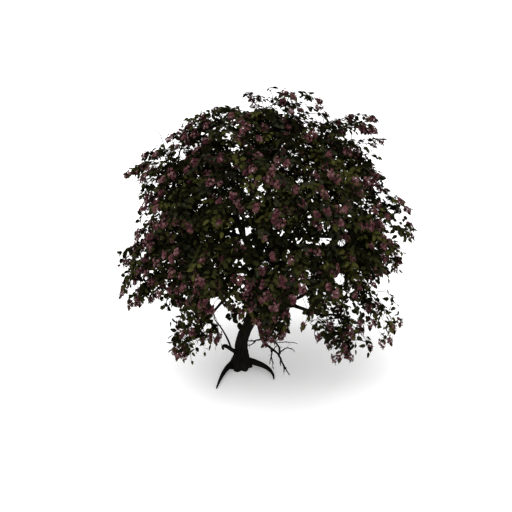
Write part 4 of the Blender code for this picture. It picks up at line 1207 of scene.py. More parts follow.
def build_tints(dealt: np.ndarray, finishes: dict[Enum, SkinFinish], feet: np.ndarray, sizes: np.ndarray,
                axes: np.ndarray, shape: Shape) -> list[bpy.types.Object]:
    """Sets copies of one small shape and joins those of one tint into one piece.

    Args:
        dealt: Number of each copy's tint, or -1 for a copy that is left out, (N,).
        finishes: The finish of each tint, in the order of their numbers.
        feet: Where each copy stands, (N, 3).
        sizes: (N, 1).
        axes: The directions of its x, y and z, (N, 3, 3).
        shape: The shape's corners, triangles and UV places.

    Returns:
        One piece for each tint.
    """
    corners, triangles, places = shape
    pieces = []
    for number, (kind, finish) in enumerate(finishes.items()):
        chosen = dealt == number
        parts = MeshParts()
        parts.add_copies(feet[chosen], sizes[chosen], axes[chosen], corners, triangles, places)
        pieces.append(parts.build(kind.value[0], finish.build(kind.value[0])))
        LOG.info("%s: %d copies, %d triangles", kind.value[0], chosen.sum(), parts.triangles())
    return pieces


@dataclass
class LeafWork:
    """Pointed oval leaves, set to either side along every shoot and held almost level."""

    skeleton: Skeleton
    spaces: Spaces
    most: int = 21
    pitch: float = 0.052
    length: Span = (0.105, 0.155)
    width_share: float = 0.64
    droop: float = 0.16
    fold: float = 0.18
    hang: float = 0.24
    stalk: float = 0.17
    least: int = 4
    fall_gap: float = 0.25
    outward_rise: float = 0.35
    face_noise: float = 0.44
    limb_gap: float = 0.01
    rows: tuple[Span, ...] = ((0.17, 0.38), (0.44, 0.50), (0.75, 0.31))

    def template(self) -> Shape:
        """Shapes one leaf of length 1: x along the midrib, y across, z up.

        Its outline is (x, y) in rows. z = fold |y| - droop x^2 arches it down and folds it up at its midrib.

        Returns:
            Corners (13, 3), triangles (13, 3) and UV places (13, 2).
        """
        corners = [(0.0, 0.0)]
        for along, half in self.rows:
            corners += [(along, half), (along, 0.0), (along, -half)]
        corners += [(1.0, 0.0)]
        flat = np.array(corners)
        flat[:, 1] *= self.width_share
        z = self.fold * np.abs(flat[:, 1]) - self.droop * flat[:, 0] ** 2
        stalk = np.array([(-self.stalk, 0.016, 0.0), (-self.stalk, -0.016, 0.0)])
        blade = np.concatenate([np.column_stack([flat, z]), stalk])
        triangles = [(0, 2, 1), (0, 3, 2)]
        for low in (1, 4):
            left, middle, right = low, low + 1, low + 2
            triangles += [(middle, middle + 3, left + 3), (middle, left + 3, left)]
            triangles += [(right, right + 3, middle + 3), (right, middle + 3, middle)]
        triangles += [(8, 10, 7), (9, 10, 8), (11, 12, 0)]
        places = np.column_stack([np.clip(blade[:, 0], 0, 1), 0.5 + blade[:, 1]])
        return blade, np.array(triangles), places

    def set_out(self, shoots: Shoots, rng: np.random.Generator) -> tuple[np.ndarray, ...]:
        """Works out where leaves sit on the shoots and which way they lie.

        Args:
            shoots: Every leafy shoot.
            rng: Random numbers.

        Returns:
            Each leaf's foot, forward, side and normal directions, length, and its shoot's number.
        """
        count, steps = shoots.paths.shape[:2]
        order = np.arange(self.most)[None]
        fall = np.clip(unit(shoots.paths[:, 0] - shoots.paths[:, -1])[:, 2], 0, 1)
        pitch = self.pitch * (1 + self.fall_gap * fall)
        held = np.clip((shoots.lengths / pitch).astype(int), self.least, self.most)[:, None]
        share = (order + 0.9 + rng.uniform(-0.2, 0.2, (count, self.most))) / held * (steps - 1)
        share = np.clip(share, 0.2, steps - 1.001)
        low = share.astype(int)
        row = np.arange(count)[:, None]
        start, end = shoots.paths[row, low], shoots.paths[row, low + 1]
        foot = start + (end - start) * (share - low)[..., None]
        along = unit(end - start)
        hand = np.where(order % 2, 1.0, -1.0)[..., None]
        across = unit(np.cross(along, UP) + rng.normal(0, 0.2, along.shape)) * hand
        last = (order == held - 1)[..., None]
        level = along * (1.0, 1.0, 0.6)
        forward = level * np.where(last, 1.2, 0.50) + across * np.where(last, 0.25, 0.85)
        forward = unit(forward - self.hang * UP + rng.normal(0, 0.18, along.shape))
        outward = self.spaces.outward(foot, self.outward_rise)
        steep = np.clip(-along[..., 2:], 0, 1)
        normal = (1 - 0.75 * steep) * UP + (0.45 + 0.35 * steep) * outward
        normal = normal + rng.normal(0, self.face_noise, along.shape) * (1 + 0.8 * steep)
        side = unit(np.cross(normal, forward))
        length = rng.uniform(*self.length, (count, self.most, 1))
        length = length * np.where(last, 0.85, 1.0) * (1 + 0.12 * steep)
        number = np.broadcast_to(row, (count, self.most))
        used = order < held
        return tuple(a[used] for a in (foot, forward, side, np.cross(forward, side), length, number))

    def build(self, shoots: Shoots, finishes: dict[LeafTint, SkinFinish]) -> list[bpy.types.Object]:
        """Sets leaves on the shoots and joins those of one tint into one piece.

        A leaf's corner is foot + length (x forward + y side + z normal).

        Args:
            shoots: Every leafy shoot.
            finishes: The finish of each tint.

        Returns:
            One piece for each tint.
        """
        rng = draws(Stream.LEAVES)
        tints = deal(LeafTint, len(shoots.paths), rng)
        foot, forward, side, normal, length, shoot = self.set_out(shoots, rng)
        base = foot + self.stalk * length * forward
        middle, tip = base + 0.5 * length * forward, base + length * forward
        kept = self.spaces.within_box(tip) & self.spaces.clear_of_openings(middle)
        for place in (tip, middle):
            kept &= self.skeleton.clearance(place) > self.limb_gap
        axes = np.stack([forward, side, normal], axis=1)
        return build_tints(np.where(kept, tints[shoot], -1), finishes, base, length, axes, self.template())


@dataclass
class BlossomWork:
    """Clusters of five-petalled flowers round the ends of shoots."""

    skeleton: Skeleton
    spaces: Spaces
    per_cluster: int = 12
    petal_length: Span = (0.032, 0.042)
    cluster_length: float = 0.150
    cluster_radius: float = 0.058
    cluster_sizes: Span = (0.8, 1.2)
    petals: int = 5
    stamens: int = 3
    opening: float = 0.45
    grown: float = 1.08
    limb_gap: float = 0.03
    middle: Span = (0.58, 0.0)
    outline: tuple[Span, ...] = ((0.0, 0.0), (0.44, -0.31), (0.82, -0.34), (1.0, 0.0), (0.82, 0.34),
                                 (0.44, 0.31))
    stalk: tuple[Point, ...] = ((0.035, 0, 0), (-0.035, 0, 0), (0, 0, -1.1), (0, 0.035, 0), (0, -0.035, 0))

    def petal(self) -> tuple[np.ndarray, np.ndarray]:
        """Shapes one petal of length 1: a narrow claw, then a round lobe, as a fan about its middle.

        Its middle stands above its rim, z = opening sin(2 x) - 0.5 x^3 - |y| / 3.

        Returns:
            Corners (7, 3) and triangles (6, 3).
        """
        flat = np.array([self.middle, *self.outline])
        z = self.opening * np.sin(2 * flat[:, 0]) - 0.5 * flat[:, 0] ** 3 - np.abs(flat[:, 1]) / 3
        rim = np.arange(len(self.outline))
        triangles = np.stack([0 * rim, 1 + rim, 1 + (rim + 1) % len(rim)], axis=1)
        return np.column_stack([flat, z]), triangles

    def flower(self) -> Shape:
        """Shapes one flower of petal length 1 that faces +z: petals in a ring, stamens and a stalk.

        Returns:
            Corners, triangles and UV places, with u along each petal.
        """
        petal, petal_faces = self.petal()
        corners, faces, places, count = [], [], [], 0
        for k in range(self.petals):
            turn = 2 * np.pi * k / self.petals
            spin = np.array([[np.cos(turn), np.sin(turn), 0], [-np.sin(turn), np.cos(turn), 0], [0, 0, 1]])
            corners.append(petal @ spin)
            faces.append(petal_faces + count)
            places.append(np.column_stack([petal[:, 0], 0.5 + petal[:, 1]]))
            count += len(petal)
        for k in range(self.stamens):
            turn = 2 * np.pi * k / self.stamens + 0.4
            reach = np.array([np.cos(turn), np.sin(turn), 0.0])
            aside = np.array([-np.sin(turn), np.cos(turn), 0.0])
            corners.append(np.array([aside * 0.03, -aside * 0.03, reach * 0.35 + UP * 0.75]))
            faces.append(np.array([(0, 1, 2)]) + count)
            # Stamens and stalk take UV places at a petal's base, where the painted shade lies.
            places.append(np.tile((0.05, 0.5), (3, 1)))
            count += 3
        corners.append(np.array(self.stalk))
        faces.append(np.array([(0, 1, 2), (3, 4, 2)]) + count)
        places.append(np.tile((0.0, 0.5), (5, 1)))
        return np.concatenate(corners), np.concatenate(faces), np.concatenate(places)

    def set_out(self, shoots: Shoots, rng: np.random.Generator) -> tuple[np.ndarray, ...]:
        """Works out where flowers sit: in a spiral round the last length of each blooming shoot.

        Args:
            shoots: Every leafy shoot.
            rng: Random numbers.

        Returns:
            Each flower's centre, the way it faces, its petal length and its cluster's number.
        """
        paths = shoots.paths[shoots.blooms]
        heading = unit(paths[:, -1] - paths[:, -2])[:, None]
        outward = self.spaces.outward(paths[:, -1])[:, None]
        shape = (len(paths), self.per_cluster)
        share = np.arange(self.per_cluster)[None] / (self.per_cluster - 1)
        start = rng.uniform(0, 2 * np.pi, (len(paths), 1))
        turn = (np.arange(self.per_cluster) * GOLDEN_ANGLE + start)[..., None]
        lean = unit(np.cross(heading, UP) + 1e-3)
        spread = np.cos(turn) * lean + np.sin(turn) * np.cross(heading, lean)
        size = rng.uniform(*self.cluster_sizes, (len(paths), 1, 1))
        along = (share[..., None] - 0.62) * self.cluster_length * size
        wide = self.cluster_radius * size * np.sqrt(1 - 0.75 * share[..., None] ** 2)
        offset = spread * wide * rng.uniform(*self.cluster_sizes, (*shape, 1))
        place = paths[:, -1:] + heading * along + offset
        facing = unit(spread + (0.9 * share[..., None] ** 2) * heading + 0.45 * outward + 0.15 * UP)
        petal = rng.uniform(*self.petal_length, (*shape, 1))
        number = np.broadcast_to(np.arange(len(paths))[:, None], shape)
        return place.reshape(-1, 3), facing.reshape(-1, 3), petal.reshape(-1, 1), number.ravel()

    def build(self, shoots: Shoots, finishes: dict[BlossomTint, PetalFinish]) -> list[bpy.types.Object]:
        """Sets a cluster on each shoot that blooms and joins those of one tint into one piece.

        Args:
            shoots: Every leafy shoot.
            finishes: The finish of each tint.

        Returns:
            One piece for each tint.
        """
        rng = draws(Stream.BLOSSOM)
        own = shoots.own[shoots.blooms]
        centre, facing, size, cluster = self.set_out(shoots, rng)
        tints = deal(BlossomTint, len(centre), rng)
        side = unit(np.cross(facing, rng.normal(0, 1, facing.shape)))
        ends = shoots.paths[shoots.blooms, -1]
        whole = self.spaces.within_reach(ends, own, self.grown) & self.spaces.clear_of_openings(ends)
        clear = self.skeleton.clearance(centre) > self.limb_gap
        kept = whole[cluster] & self.spaces.within_box(centre) & clear
        axes = np.stack([side, np.cross(facing, side), facing], axis=1)
        return build_tints(np.where(kept, tints, -1), finishes, centre, size, axes, self.flower())


# ------------------------------------------------------------------ bark

@dataclass
class BarkRelief:
    """The bark's relief: long plates between fissures, over slow swellings."""

    plates: LatticeNoise = field(default_factory=lambda: LatticeNoise(SEED + 1))
    swells: LatticeNoise = field(default_factory=lambda: LatticeNoise(SEED + 2))
    plate_steps: Span = (42, 7)
    swell_steps: Span = (9, 3.1)
    finer: float = 2.3
    share: float = 0.10
    most: float = 0.012

    def height(self, around: np.ndarray, along: np.ndarray, radius: np.ndarray, turn: float) -> np.ndarray:
        """Works out how far the bark stands out.

        Plates are 1 - |2 n - 1| of a noise n drawn out along the limb, with narrow fissures between them.

        Args:
            around: Angle round the limb.
            along: Length along it, in metres.
            radius: Its radius there.
            turn: A shift that sets limbs apart.

        Returns:
            Heights in metres, at most about a tenth of the radius.
        """
        ring = np.stack([np.cos(around), np.sin(around), np.zeros_like(around)], axis=-1)
        across, length = self.plate_steps
        shift = turn + 0 * along
        place = ring * (radius[..., None] * across) + np.stack([shift, shift, along * length], axis=-1)
        coarse = 1 - np.abs(2 * self.plates(place) - 1)
        fine = 1 - np.abs(2 * self.plates(place * self.finer + 9.0) - 1)
        across, length = self.swell_steps
        slow = ring * (radius[..., None] * across) + np.stack([shift, 0 * along, along * length], axis=-1)
        swell = self.swells(slow) - 0.5
        scale = np.minimum(radius * self.share, self.most)
        return scale * (0.75 * swell - 0.55 * coarse ** 3 - 0.25 * fine ** 3 + 0.2)

    def cover(self, path: np.ndarray, radii: np.ndarray, sides: int, turn: float, ease: np.ndarray) -> Surface:
        """Works out a limb's surface: its centre line plus (radius + relief) times the profile's direction.

        Args:
            path: The centre line, (S, 3).
            radii: Radius at each of its points, (S,).
            sides: Corners of the profile.
            turn: A shift that sets limbs apart.
            ease: Share of the relief at each point, (S,).

        Returns:
            Corners (S, sides, 3), faces, and UV places (S * sides, 2).
        """
        corners, faces, places = tubes(path[None], radii[None], sides)
        corners = corners.reshape(len(path), sides, 3)
        around, along = np.moveaxis(places.reshape(len(path), sides, 2), -1, 0)
        width = np.repeat(radii[:, None], sides, axis=1)
        bark = self.height(around * 2 * np.pi, along, width, turn)
        outward = (corners - path[:, None]) / width[..., None]
        return corners + outward * (bark * ease[:, None])[..., None], faces, places


@dataclass
class LimbBark:
    """Bark over one limb: a fine tube along its centre line, with relief."""

    relief: BarkRelief
    sides: int = 20
    step: float = 0.022
    smooth_end: float = 0.05
    torn_path: Curve = ((0.025, 0.0, -0.012), (-0.045, 0.0, 0.028), (-0.105, 0.0, -0.030),
                        (-0.045, 0.0, -0.095))
    torn_ends: Span = (1.25, 0.60)
    torn_steps: int = 10
    torn_sides: int = 12

    def parts(self, limb: Limb, turn: float) -> MeshParts:
        """Works out the limb's surface, with the relief eased away at its end, where a mass's stem starts.

        Args:
            limb: The limb.
            turn: A shift that sets its relief apart.

        Returns:
            The mesh.
        """
        rough = limb.line
        length = np.linalg.norm(np.diff(rough, axis=0), axis=1).sum()
        steps = max(int(length / self.step), 8)
        share = np.linspace(0, 1, steps)
        path = bezier(limb.control, steps)
        radii = np.interp(share, np.linspace(0, 1, len(limb.radii)), limb.radii)
        ease = np.clip((1 - share) * length / self.smooth_end, 0, 1)
        corners, faces, places = self.relief.cover(path, radii, self.sides, turn, ease)
        parts = MeshParts()
        parts.add(corners.reshape(-1, 3), faces, places)
        return parts

    def add_torn_end(self, parts: MeshParts, limb: Limb) -> None:
        """Adds the lip of torn wood that hooks down from a broken end.

        Args:
            parts: The mesh to add to.
            limb: The broken limb.
        """
        point, _, radius = limb.end()
        path = bezier(point + np.array(self.torn_path), self.torn_steps)
        ragged = 1 + 0.12 * np.cos(np.arange(self.torn_steps) * 2.4)
        radii = radius * np.linspace(*self.torn_ends, self.torn_steps) * ragged
        parts.add(*tubes(path[None], radii[None], self.torn_sides))


@dataclass
class TrunkBark:
    """Bark over the trunk, its ridged flare and its surface roots."""

    skeleton: Skeleton
    relief: BarkRelief
    rings: int = 260
    sides: int = 120
    flare_lobes: int = 7
    flare_lobe_depth: float = 0.13
    flare_fade: float = 0.30
    flare_turn: float = 0.6
    ribs: int = 12
    rib_depth: float = 0.035
    rib_fade: float = 0.9
    rib_turn: float = 1.1
    root_rings: int = 70
    root_sides: int = 28
    root_turn: float = 5.0

    def parts(self) -> MeshParts:
        """Works out the trunk and its roots.

        The trunk's radius at height h and angle a is r(h) (1 + depth e^(-h / fade) cos(lobes a + turn)), with
        narrower ribs of the same form that fade higher up, plus relief.

        Returns:
            The mesh.
        """
        height, lean, forward, radius = smooth_stations(self.skeleton.stations, self.rings).T
        around = np.linspace(0, 2 * np.pi, self.sides, endpoint=False)[None].repeat(self.rings, 0)
        fade = np.exp(-np.clip(height, 0, None) / self.flare_fade)[:, None]
        lobes = self.flare_lobe_depth * fade * np.cos(self.flare_lobes * around + self.flare_turn)
        fade = np.exp(-height / self.rib_fade)[:, None]
        ribs = self.rib_depth * fade * np.cos(self.ribs * around + self.rib_turn)
        across = radius[:, None] * (1 + lobes + ribs)
        along = height[:, None].repeat(self.sides, 1)
        across = across + self.relief.height(around, along, across, 0.0)
        corners = np.stack([
            lean[:, None] + across * np.cos(around),
            forward[:, None] + across * np.sin(around),
            along,
        ], axis=-1)
        corners[0, :, 2] = 0.0
        parts = MeshParts()
        ring = np.arange(corners[..., 0].size).reshape(self.rings, self.sides)
        low, high = ring[:-1], ring[1:]
        quads = np.stack([low, np.roll(low, -1, 1), np.roll(high, -1, 1), high], axis=-1).reshape(-1, 4)
        caps = np.stack([ring[0, ::-1], ring[-1]])
        places = np.stack([around / (2 * np.pi), along], axis=-1)
        parts.add(corners.reshape(-1, 3), [quads, caps], places.reshape(-1, 2))
        for number, root in enumerate(BARK_ROOTS):
            self.add_root(parts, root, number)
        return parts

    def add_root(self, parts: MeshParts, root: Root, number: int) -> None:
        """Adds one surface root, pressed flat where it meets the ground.

        Args:
            parts: The mesh to add to.
            root: Its sizes.
            number: Which root it is.
        """
        path, radii = root.line(self.root_rings)
        turn = self.root_turn + number
        corners, faces, places = self.relief.cover(path, radii, self.root_sides, turn, np.ones(len(path)))
        corners[..., 2] = np.maximum(corners[..., 2], 0.0)
        parts.add(corners.reshape(-1, 3), faces, places)


@dataclass(frozen=True)
class DeadTwig:
    """A bare twig: four control points, and its radius at its foot and tip."""

    control: Curve
    radii: Span


DEAD_TWIGS = (
    DeadTwig(((0.88, -0.75, 0.73), (0.93, -0.78, 0.62), (1.01, -0.80, 0.43), (1.14, -0.84, 0.24)),
             (0.0165, 0.006)),
    DeadTwig(((0.93, -0.78, 0.59), (0.93, -0.74, 0.51), (0.93, -0.72, 0.46), (0.94, -0.70, 0.40)),
             (0.011, 0.005)),
    DeadTwig(((1.00, -0.80, 0.46), (1.03, -0.86, 0.42), (1.02, -0.88, 0.38), (1.01, -0.90, 0.34)),
             (0.010, 0.005)),
    DeadTwig(((0.72, -0.60, 0.78), (0.76, -0.56, 0.61), (0.70, -0.52, 0.51), (0.70, -0.50, 0.33)),
             (0.012, 0.005)),
    DeadTwig(((0.73, -0.54, 0.56), (0.75, -0.58, 0.48), (0.76, -0.62, 0.39), (0.78, -0.64, 0.27)),
             (0.009, 0.004)),
    DeadTwig(((0.88, -0.75, 0.73), (0.99, -0.82, 0.86), (1.08, -0.90, 1.06), (1.24, -0.95, 0.89)),
             (0.011, 0.005)),
    DeadTwig(((0.56, -0.49, 0.94), (0.75, -0.42, 0.95), (0.97, -0.48, 0.83), (0.90, -0.70, 0.70)),
             (0.0135, 0.009)),
    DeadTwig(((0.72, -0.45, 0.88), (0.85, -0.44, 0.86), (0.95, -0.55, 0.81), (0.93, -0.66, 0.68)),
             (0.009, 0.006)),
    DeadTwig(((0.62, -0.46, 0.95), (0.87, -0.60, 0.83), (1.01, -0.80, 1.14), (1.30, -0.90, 1.06)),
             (0.0085, 0.004)),
    DeadTwig(((0.53, -0.47, 0.94), (0.40, -0.42, 0.94), (0.32, -0.36, 0.81), (0.19, -0.28, 0.83)),
             (0.0125, 0.007)),
    DeadTwig(((0.38, -0.41, 0.90), (0.33, -0.38, 0.82), (0.29, -0.34, 0.72), (0.19, -0.28, 0.71)),
             (0.010, 0.006)),
    DeadTwig(((0.86, -0.47, 0.79), (0.80, -0.50, 0.75), (0.75, -0.52, 0.71), (0.73, -0.55, 0.58)),
             (0.008, 0.005)),
)


@dataclass
class DeadWood:
    """The bare twigs at the end of the dead limb, each with a few short spurs."""

    steps: int = 12
    sides: int = 7
    wobble: float = 0.004
    spurs: int = 3
    spur_length: Span = (0.04, 0.10)
    spur_radii: Span = (0.0055, 0.0028)
    spur_steps: int = 5
    spur_sides: int = 5
    stoutness: float = 1.75

    def parts(self) -> MeshParts:
        """Lays each twig along its curve, and spurs to one side and the other of it.

        Returns:
            The mesh, without the stem.
        """
        rng = draws(Stream.DEAD_WOOD)
        control = np.array([twig.control for twig in DEAD_TWIGS])
        paths = bezier(control, self.steps)
        paths[:, 1:-1] += rng.normal(0, self.wobble, paths[:, 1:-1].shape)
        share = np.linspace(0, 1, self.steps)
        ends = self.stoutness * np.array([twig.radii for twig in DEAD_TWIGS])
        parts = MeshParts()
        parts.add(*tubes(paths, ends[:, :1] + (ends[:, 1:] - ends[:, :1]) * share, self.sides))
        for k in range(self.spurs):
            at = rng.integers(3, self.steps - 1, len(paths))
            foot = paths[np.arange(len(paths)), at]
            along = unit(foot - paths[np.arange(len(paths)), at - 1])
            side = unit(np.cross(along, rng.normal(0, 1, along.shape)))
            length = rng.uniform(*self.spur_length, (len(foot), 1))
            tip = foot + (0.7 * along + 0.7 * side - 0.2 * UP) * length
            middle = 0.5 * (foot + tip) + 0.01 * UP
            spurs = bezier(np.stack([foot, middle, middle, tip], axis=1), self.spur_steps)
            radii = np.broadcast_to(np.linspace(*self.spur_radii, self.spur_steps), spurs.shape[:2])
            parts.add(*tubes(spurs, radii, self.spur_sides))
        return parts


# ------------------------------------------------------------------ finishes

def new_group(name: str, inputs: dict[str, float | Colour], outputs: dict[str, str]) -> bpy.types.NodeTree:
    """Makes an empty shader group with named sockets.

    Args:
        name: The group's name.
        inputs: Each input's value; a colour has three numbers.
        outputs: Each output's socket type.

    Returns:
        The group, with its input and output nodes.
    """
    group = bpy.data.node_groups.new(name, "ShaderNodeTree")
    vector = group.interface.new_socket("Vector", in_out="INPUT", socket_type="NodeSocketVector")
    vector.default_value = (0, 0, 0)
    for label, value in inputs.items():
        kind = "NodeSocketColor" if isinstance(value, tuple) else "NodeSocketFloat"
        socket = group.interface.new_socket(label, in_out="INPUT", socket_type=kind)
        socket.default_value = (*value, 1.0) if isinstance(value, tuple) else value
    for label, kind in outputs.items():
        group.interface.new_socket(label, in_out="OUTPUT", socket_type=kind)
    group.nodes.new("NodeGroupInput").name = "given"
    group.nodes.new("NodeGroupOutput").name = "result"
    return group


Value = bpy.types.NodeSocket | float


def math_node(tree: bpy.types.NodeTree, operation: str, first: Value,
              second: Value = 0.0) -> bpy.types.NodeSocket:
    """Adds a Math node.

    Args:
        tree: Where to add it.
        operation: Its operation.
        first: A socket or a number.
        second: A socket or a number.

    Returns:
        The node's output.
    """
    node = tree.nodes.new("ShaderNodeMath")
    node.operation = operation
    for k, value in enumerate((first, second)):
        if isinstance(value, bpy.types.NodeSocket):
            tree.links.new(value, node.inputs[k])
        else:
            node.inputs[k].default_value = float(value)
    return node.outputs[0]


def mottle_group() -> bpy.types.NodeTree:
    """Builds, once, a soft mottling between two colours.

    Returns:
        A group with Dark, Light and Scale, that gives Color and Value.
    """
    known = bpy.data.node_groups.get("mottle")
    if known:
        return known
    group = new_group("mottle", {"Dark": (0, 0, 0), "Light": (1, 1, 1), "Scale": 10.0},
                      {"Color": "NodeSocketColor", "Value": "NodeSocketFloat"})
    given, result = group.nodes["given"], group.nodes["result"]
    detail, dark_below, light_above = 3.0, 0.36, 0.64
    noise = group.nodes.new("ShaderNodeTexNoise")
    noise.inputs["Detail"].default_value = detail
    group.links.new(given.outputs["Vector"], noise.inputs["Vector"])
    group.links.new(given.outputs["Scale"], noise.inputs["Scale"])
    ramp = group.nodes.new("ShaderNodeMapRange")
    ramp.inputs["From Min"].default_value = dark_below
    ramp.inputs["From Max"].default_value = light_above
    group.links.new(noise.outputs["Fac"], ramp.inputs["Value"])
    mix = group.nodes.new("ShaderNodeMix")
    mix.data_type = "RGBA"
    group.links.new(ramp.outputs["Result"], mix.inputs["Factor"])
    group.links.new(given.outputs["Dark"], mix.inputs["A"])
    group.links.new(given.outputs["Light"], mix.inputs["B"])
    group.links.new(mix.outputs["Result"], result.inputs["Color"])
    group.links.new(ramp.outputs["Result"], result.inputs["Value"])
    return group


def vein_group() -> bpy.types.NodeTree:
    """Builds, once, the midrib and side veins of a leaf or petal from its UV place.

    With across = |v - 0.5|, a side vein is max(sin(2 pi Count (u - Slant across)), 0)^6, and the midrib falls
    off as 1 - 28 across.

    Returns:
        A group with Count and Slant. Height is 1 on a vein and 0 between. The second output is 1 at the base and
        the edges, and marks where painted shade darkens a leaf or petal.
    """
    known = bpy.data.node_groups.get("veins")
    if known:
        return known
    group = new_group("veins", {"Count": 7.0, "Slant": 1.4},
                      {"Height": "NodeSocketFloat", "ShadeMask": "NodeSocketFloat"})
    vein_power, rib_slope, base_slope, edge_slope, edge_power = 6.0, 28.0, 2.6, 3.6, 2.0
    given, result = group.nodes["given"], group.nodes["result"]
    parts = group.nodes.new("ShaderNodeSeparateXYZ")
    group.links.new(given.outputs["Vector"], parts.inputs[0])
    maths = partial(math_node, group)
    across = maths("ABSOLUTE", maths("SUBTRACT", parts.outputs["Y"], 0.5))
    slanted = maths("SUBTRACT", parts.outputs["X"], maths("MULTIPLY", across, given.outputs["Slant"]))
    turns = maths("MULTIPLY", given.outputs["Count"], FULL_TURN)
    wave = maths("SINE", maths("MULTIPLY", slanted, turns))
    side = maths("POWER", maths("MAXIMUM", wave, 0.0), vein_power)
    rib = maths("MAXIMUM", maths("SUBTRACT", 1.0, maths("MULTIPLY", across, rib_slope)), 0.0)
    group.links.new(maths("MAXIMUM", side, rib), result.inputs["Height"])
    # Base and edges: where the painted shade goes.
    base = maths("MAXIMUM", maths("SUBTRACT", 1.0, maths("MULTIPLY", parts.outputs["X"], base_slope)), 0.0)
    edge = maths("MINIMUM", maths("MULTIPLY", across, edge_slope), 1.0)
    group.links.new(maths("MAXIMUM", base, maths("POWER", edge, edge_power)), result.inputs["ShadeMask"])
    return group


@dataclass
class Finish:
    """A material under construction, and the nodes that most finishes share."""

    name: str
    roughness: float
    specular: float = 0.3

    def __post_init__(self) -> None:
        """Makes the material and its Principled shader."""
        self.material = bpy.data.materials.new(self.name)
        self.material.use_nodes = True
        self.tree = self.material.node_tree
        self.shader = self.tree.nodes["Principled BSDF"]
        self.shader.inputs["Roughness"].default_value = self.roughness
        self.shader.inputs["Specular IOR Level"].default_value = self.specular
        self.coords = self.tree.nodes.new("ShaderNodeTexCoord")

    def group(self, group: bpy.types.NodeTree, place: str,
              **values: float | Colour) -> bpy.types.ShaderNodeGroup:
        """Places a shared group with its own values.

        Args:
            group: The group.
            place: Which texture coordinate it reads.
            **values: Its inputs.

        Returns:
            The group's node.
        """
        node = self.tree.nodes.new("ShaderNodeGroup")
        node.node_tree = group
        self.tree.links.new(self.coords.outputs[place], node.inputs["Vector"])
        for label, value in values.items():
            node.inputs[label].default_value = (*value, 1.0) if isinstance(value, tuple) else value
        return node

    def blend(self, mask: bpy.types.NodeSocket, first: bpy.types.NodeSocket, colour: Colour,
              strength: float) -> bpy.types.NodeSocket:
        """Blends a colour over another by a mask.

        Args:
            mask: 0 keeps the first colour.
            first: The colour below.
            colour: The colour above.
            strength: Most of it that shows.

        Returns:
            The blended colour.
        """
        mix = self.tree.nodes.new("ShaderNodeMix")
        mix.data_type = "RGBA"
        self.tree.links.new(math_node(self.tree, "MULTIPLY", mask, strength), mix.inputs["Factor"])
        self.tree.links.new(first, mix.inputs["A"])
        mix.inputs["B"].default_value = (*colour, 1.0)
        return mix.outputs["Result"]

    def bump(self, height: bpy.types.NodeSocket, strength: float, distance: float) -> None:
        """Raises the surface by a height, through a Bump node.

        Args:
            height: From 0 to 1.
            strength: Share of the relief that shows.
            distance: The relief's height in metres.
        """
        node = self.tree.nodes.new("ShaderNodeBump")
        node.inputs["Strength"].default_value = strength
        node.inputs["Distance"].default_value = distance
        self.tree.links.new(height, node.inputs["Height"])
        self.tree.links.new(node.outputs["Normal"], self.shader.inputs["Normal"])

    def colour(self, socket: bpy.types.NodeSocket) -> None:
        """Feeds a colour to the shader's Base Color."""
        self.tree.links.new(socket, self.shader.inputs["Base Color"])


@dataclass(frozen=True)
class SkinFinish:
    """The skin of a leaf or petal: two close tones, mottled, with veins, and painted shade that darkens its base
    and rim.
    """

    dark: Colour
    light: Colour
    vein: Colour
    # Painted shade: a dark colour laid over the base and the edges.
    rim: Colour
    roughness: float = 0.55
    mottle_scale: float = 9.0
    vein_count: float = 6.0
    vein_slant: float = 1.3
    # How much of the painted shade shows at the base and edges.
    shade_share: float = 0.7
    vein_share: float = 0.5
    bump: float = 0.35
    bump_distance: float = 0.002

    def build(self, name: str) -> bpy.types.Material:
        """Makes the material.

        Args:
            name: Its name.

        Returns:
            The material.
        """
        finish = Finish(name, self.roughness, 0.0)
        mottle = finish.group(mottle_group(), "Object", Dark=self.dark, Light=self.light,
                              Scale=self.mottle_scale)
        veins = finish.group(vein_group(), "UV", Count=self.vein_count, Slant=self.vein_slant)
        # Lays the painted shade over the base and edges.
        skin = finish.blend(veins.outputs["ShadeMask"], mottle.outputs["Color"], self.rim, self.shade_share)
        finish.colour(finish.blend(veins.outputs["Height"], skin, self.vein, self.vein_share))
        finish.bump(veins.outputs["Height"], self.bump, self.bump_distance)
        return finish.material


@dataclass(frozen=True)
class PetalFinish(SkinFinish):
    """A petal's skin: finer mottling and fewer, steeper veins than a leaf's, with deeper painted shade at its
    claw.
    """

    roughness: float = 0.6
    mottle_scale: float = 16.0
    vein_count: float = 3.0
    vein_slant: float = 3.0
    # Stronger painted shade than a leaf's.
    shade_share: float = 0.85
    vein_share: float = 0.35
    bump: float = 0.25


@dataclass(frozen=True)
class BarkFinish:
    """Bark: dark grey-brown plates, darker in the fissures, greyer where it weathers."""

    dark: Colour
    light: Colour
    weathered: Colour
    stretch: float
    scale: float
    depth: float
    roughness: float = 0.88
    weathered_scale: float = 3.0
    weathered_share: float = 0.45
    bump: float = 0.6

    def build(self, name: str) -> bpy.types.Material:
        """Makes the material.

        Args:
            name: Its name.

        Returns:
            The material.
        """
        finish = Finish(name, self.roughness, 0.0)
        mapping = finish.tree.nodes.new("ShaderNodeMapping")
        mapping.inputs["Scale"].default_value = (1.0, 1.0, self.stretch)
        finish.tree.links.new(finish.coords.outputs["Object"], mapping.inputs["Vector"])
        fine = finish.group(mottle_group(), "Object", Dark=self.dark, Light=self.light, Scale=self.scale)
        finish.tree.links.new(mapping.outputs["Vector"], fine.inputs["Vector"])
        slow = finish.group(mottle_group(), "Object", Scale=self.weathered_scale)
        finish.colour(finish.blend(slow.outputs["Value"], fine.outputs["Color"], self.weathered,
                                   self.weathered_share))
        finish.bump(fine.outputs["Value"], self.bump, self.depth)
        return finish.material


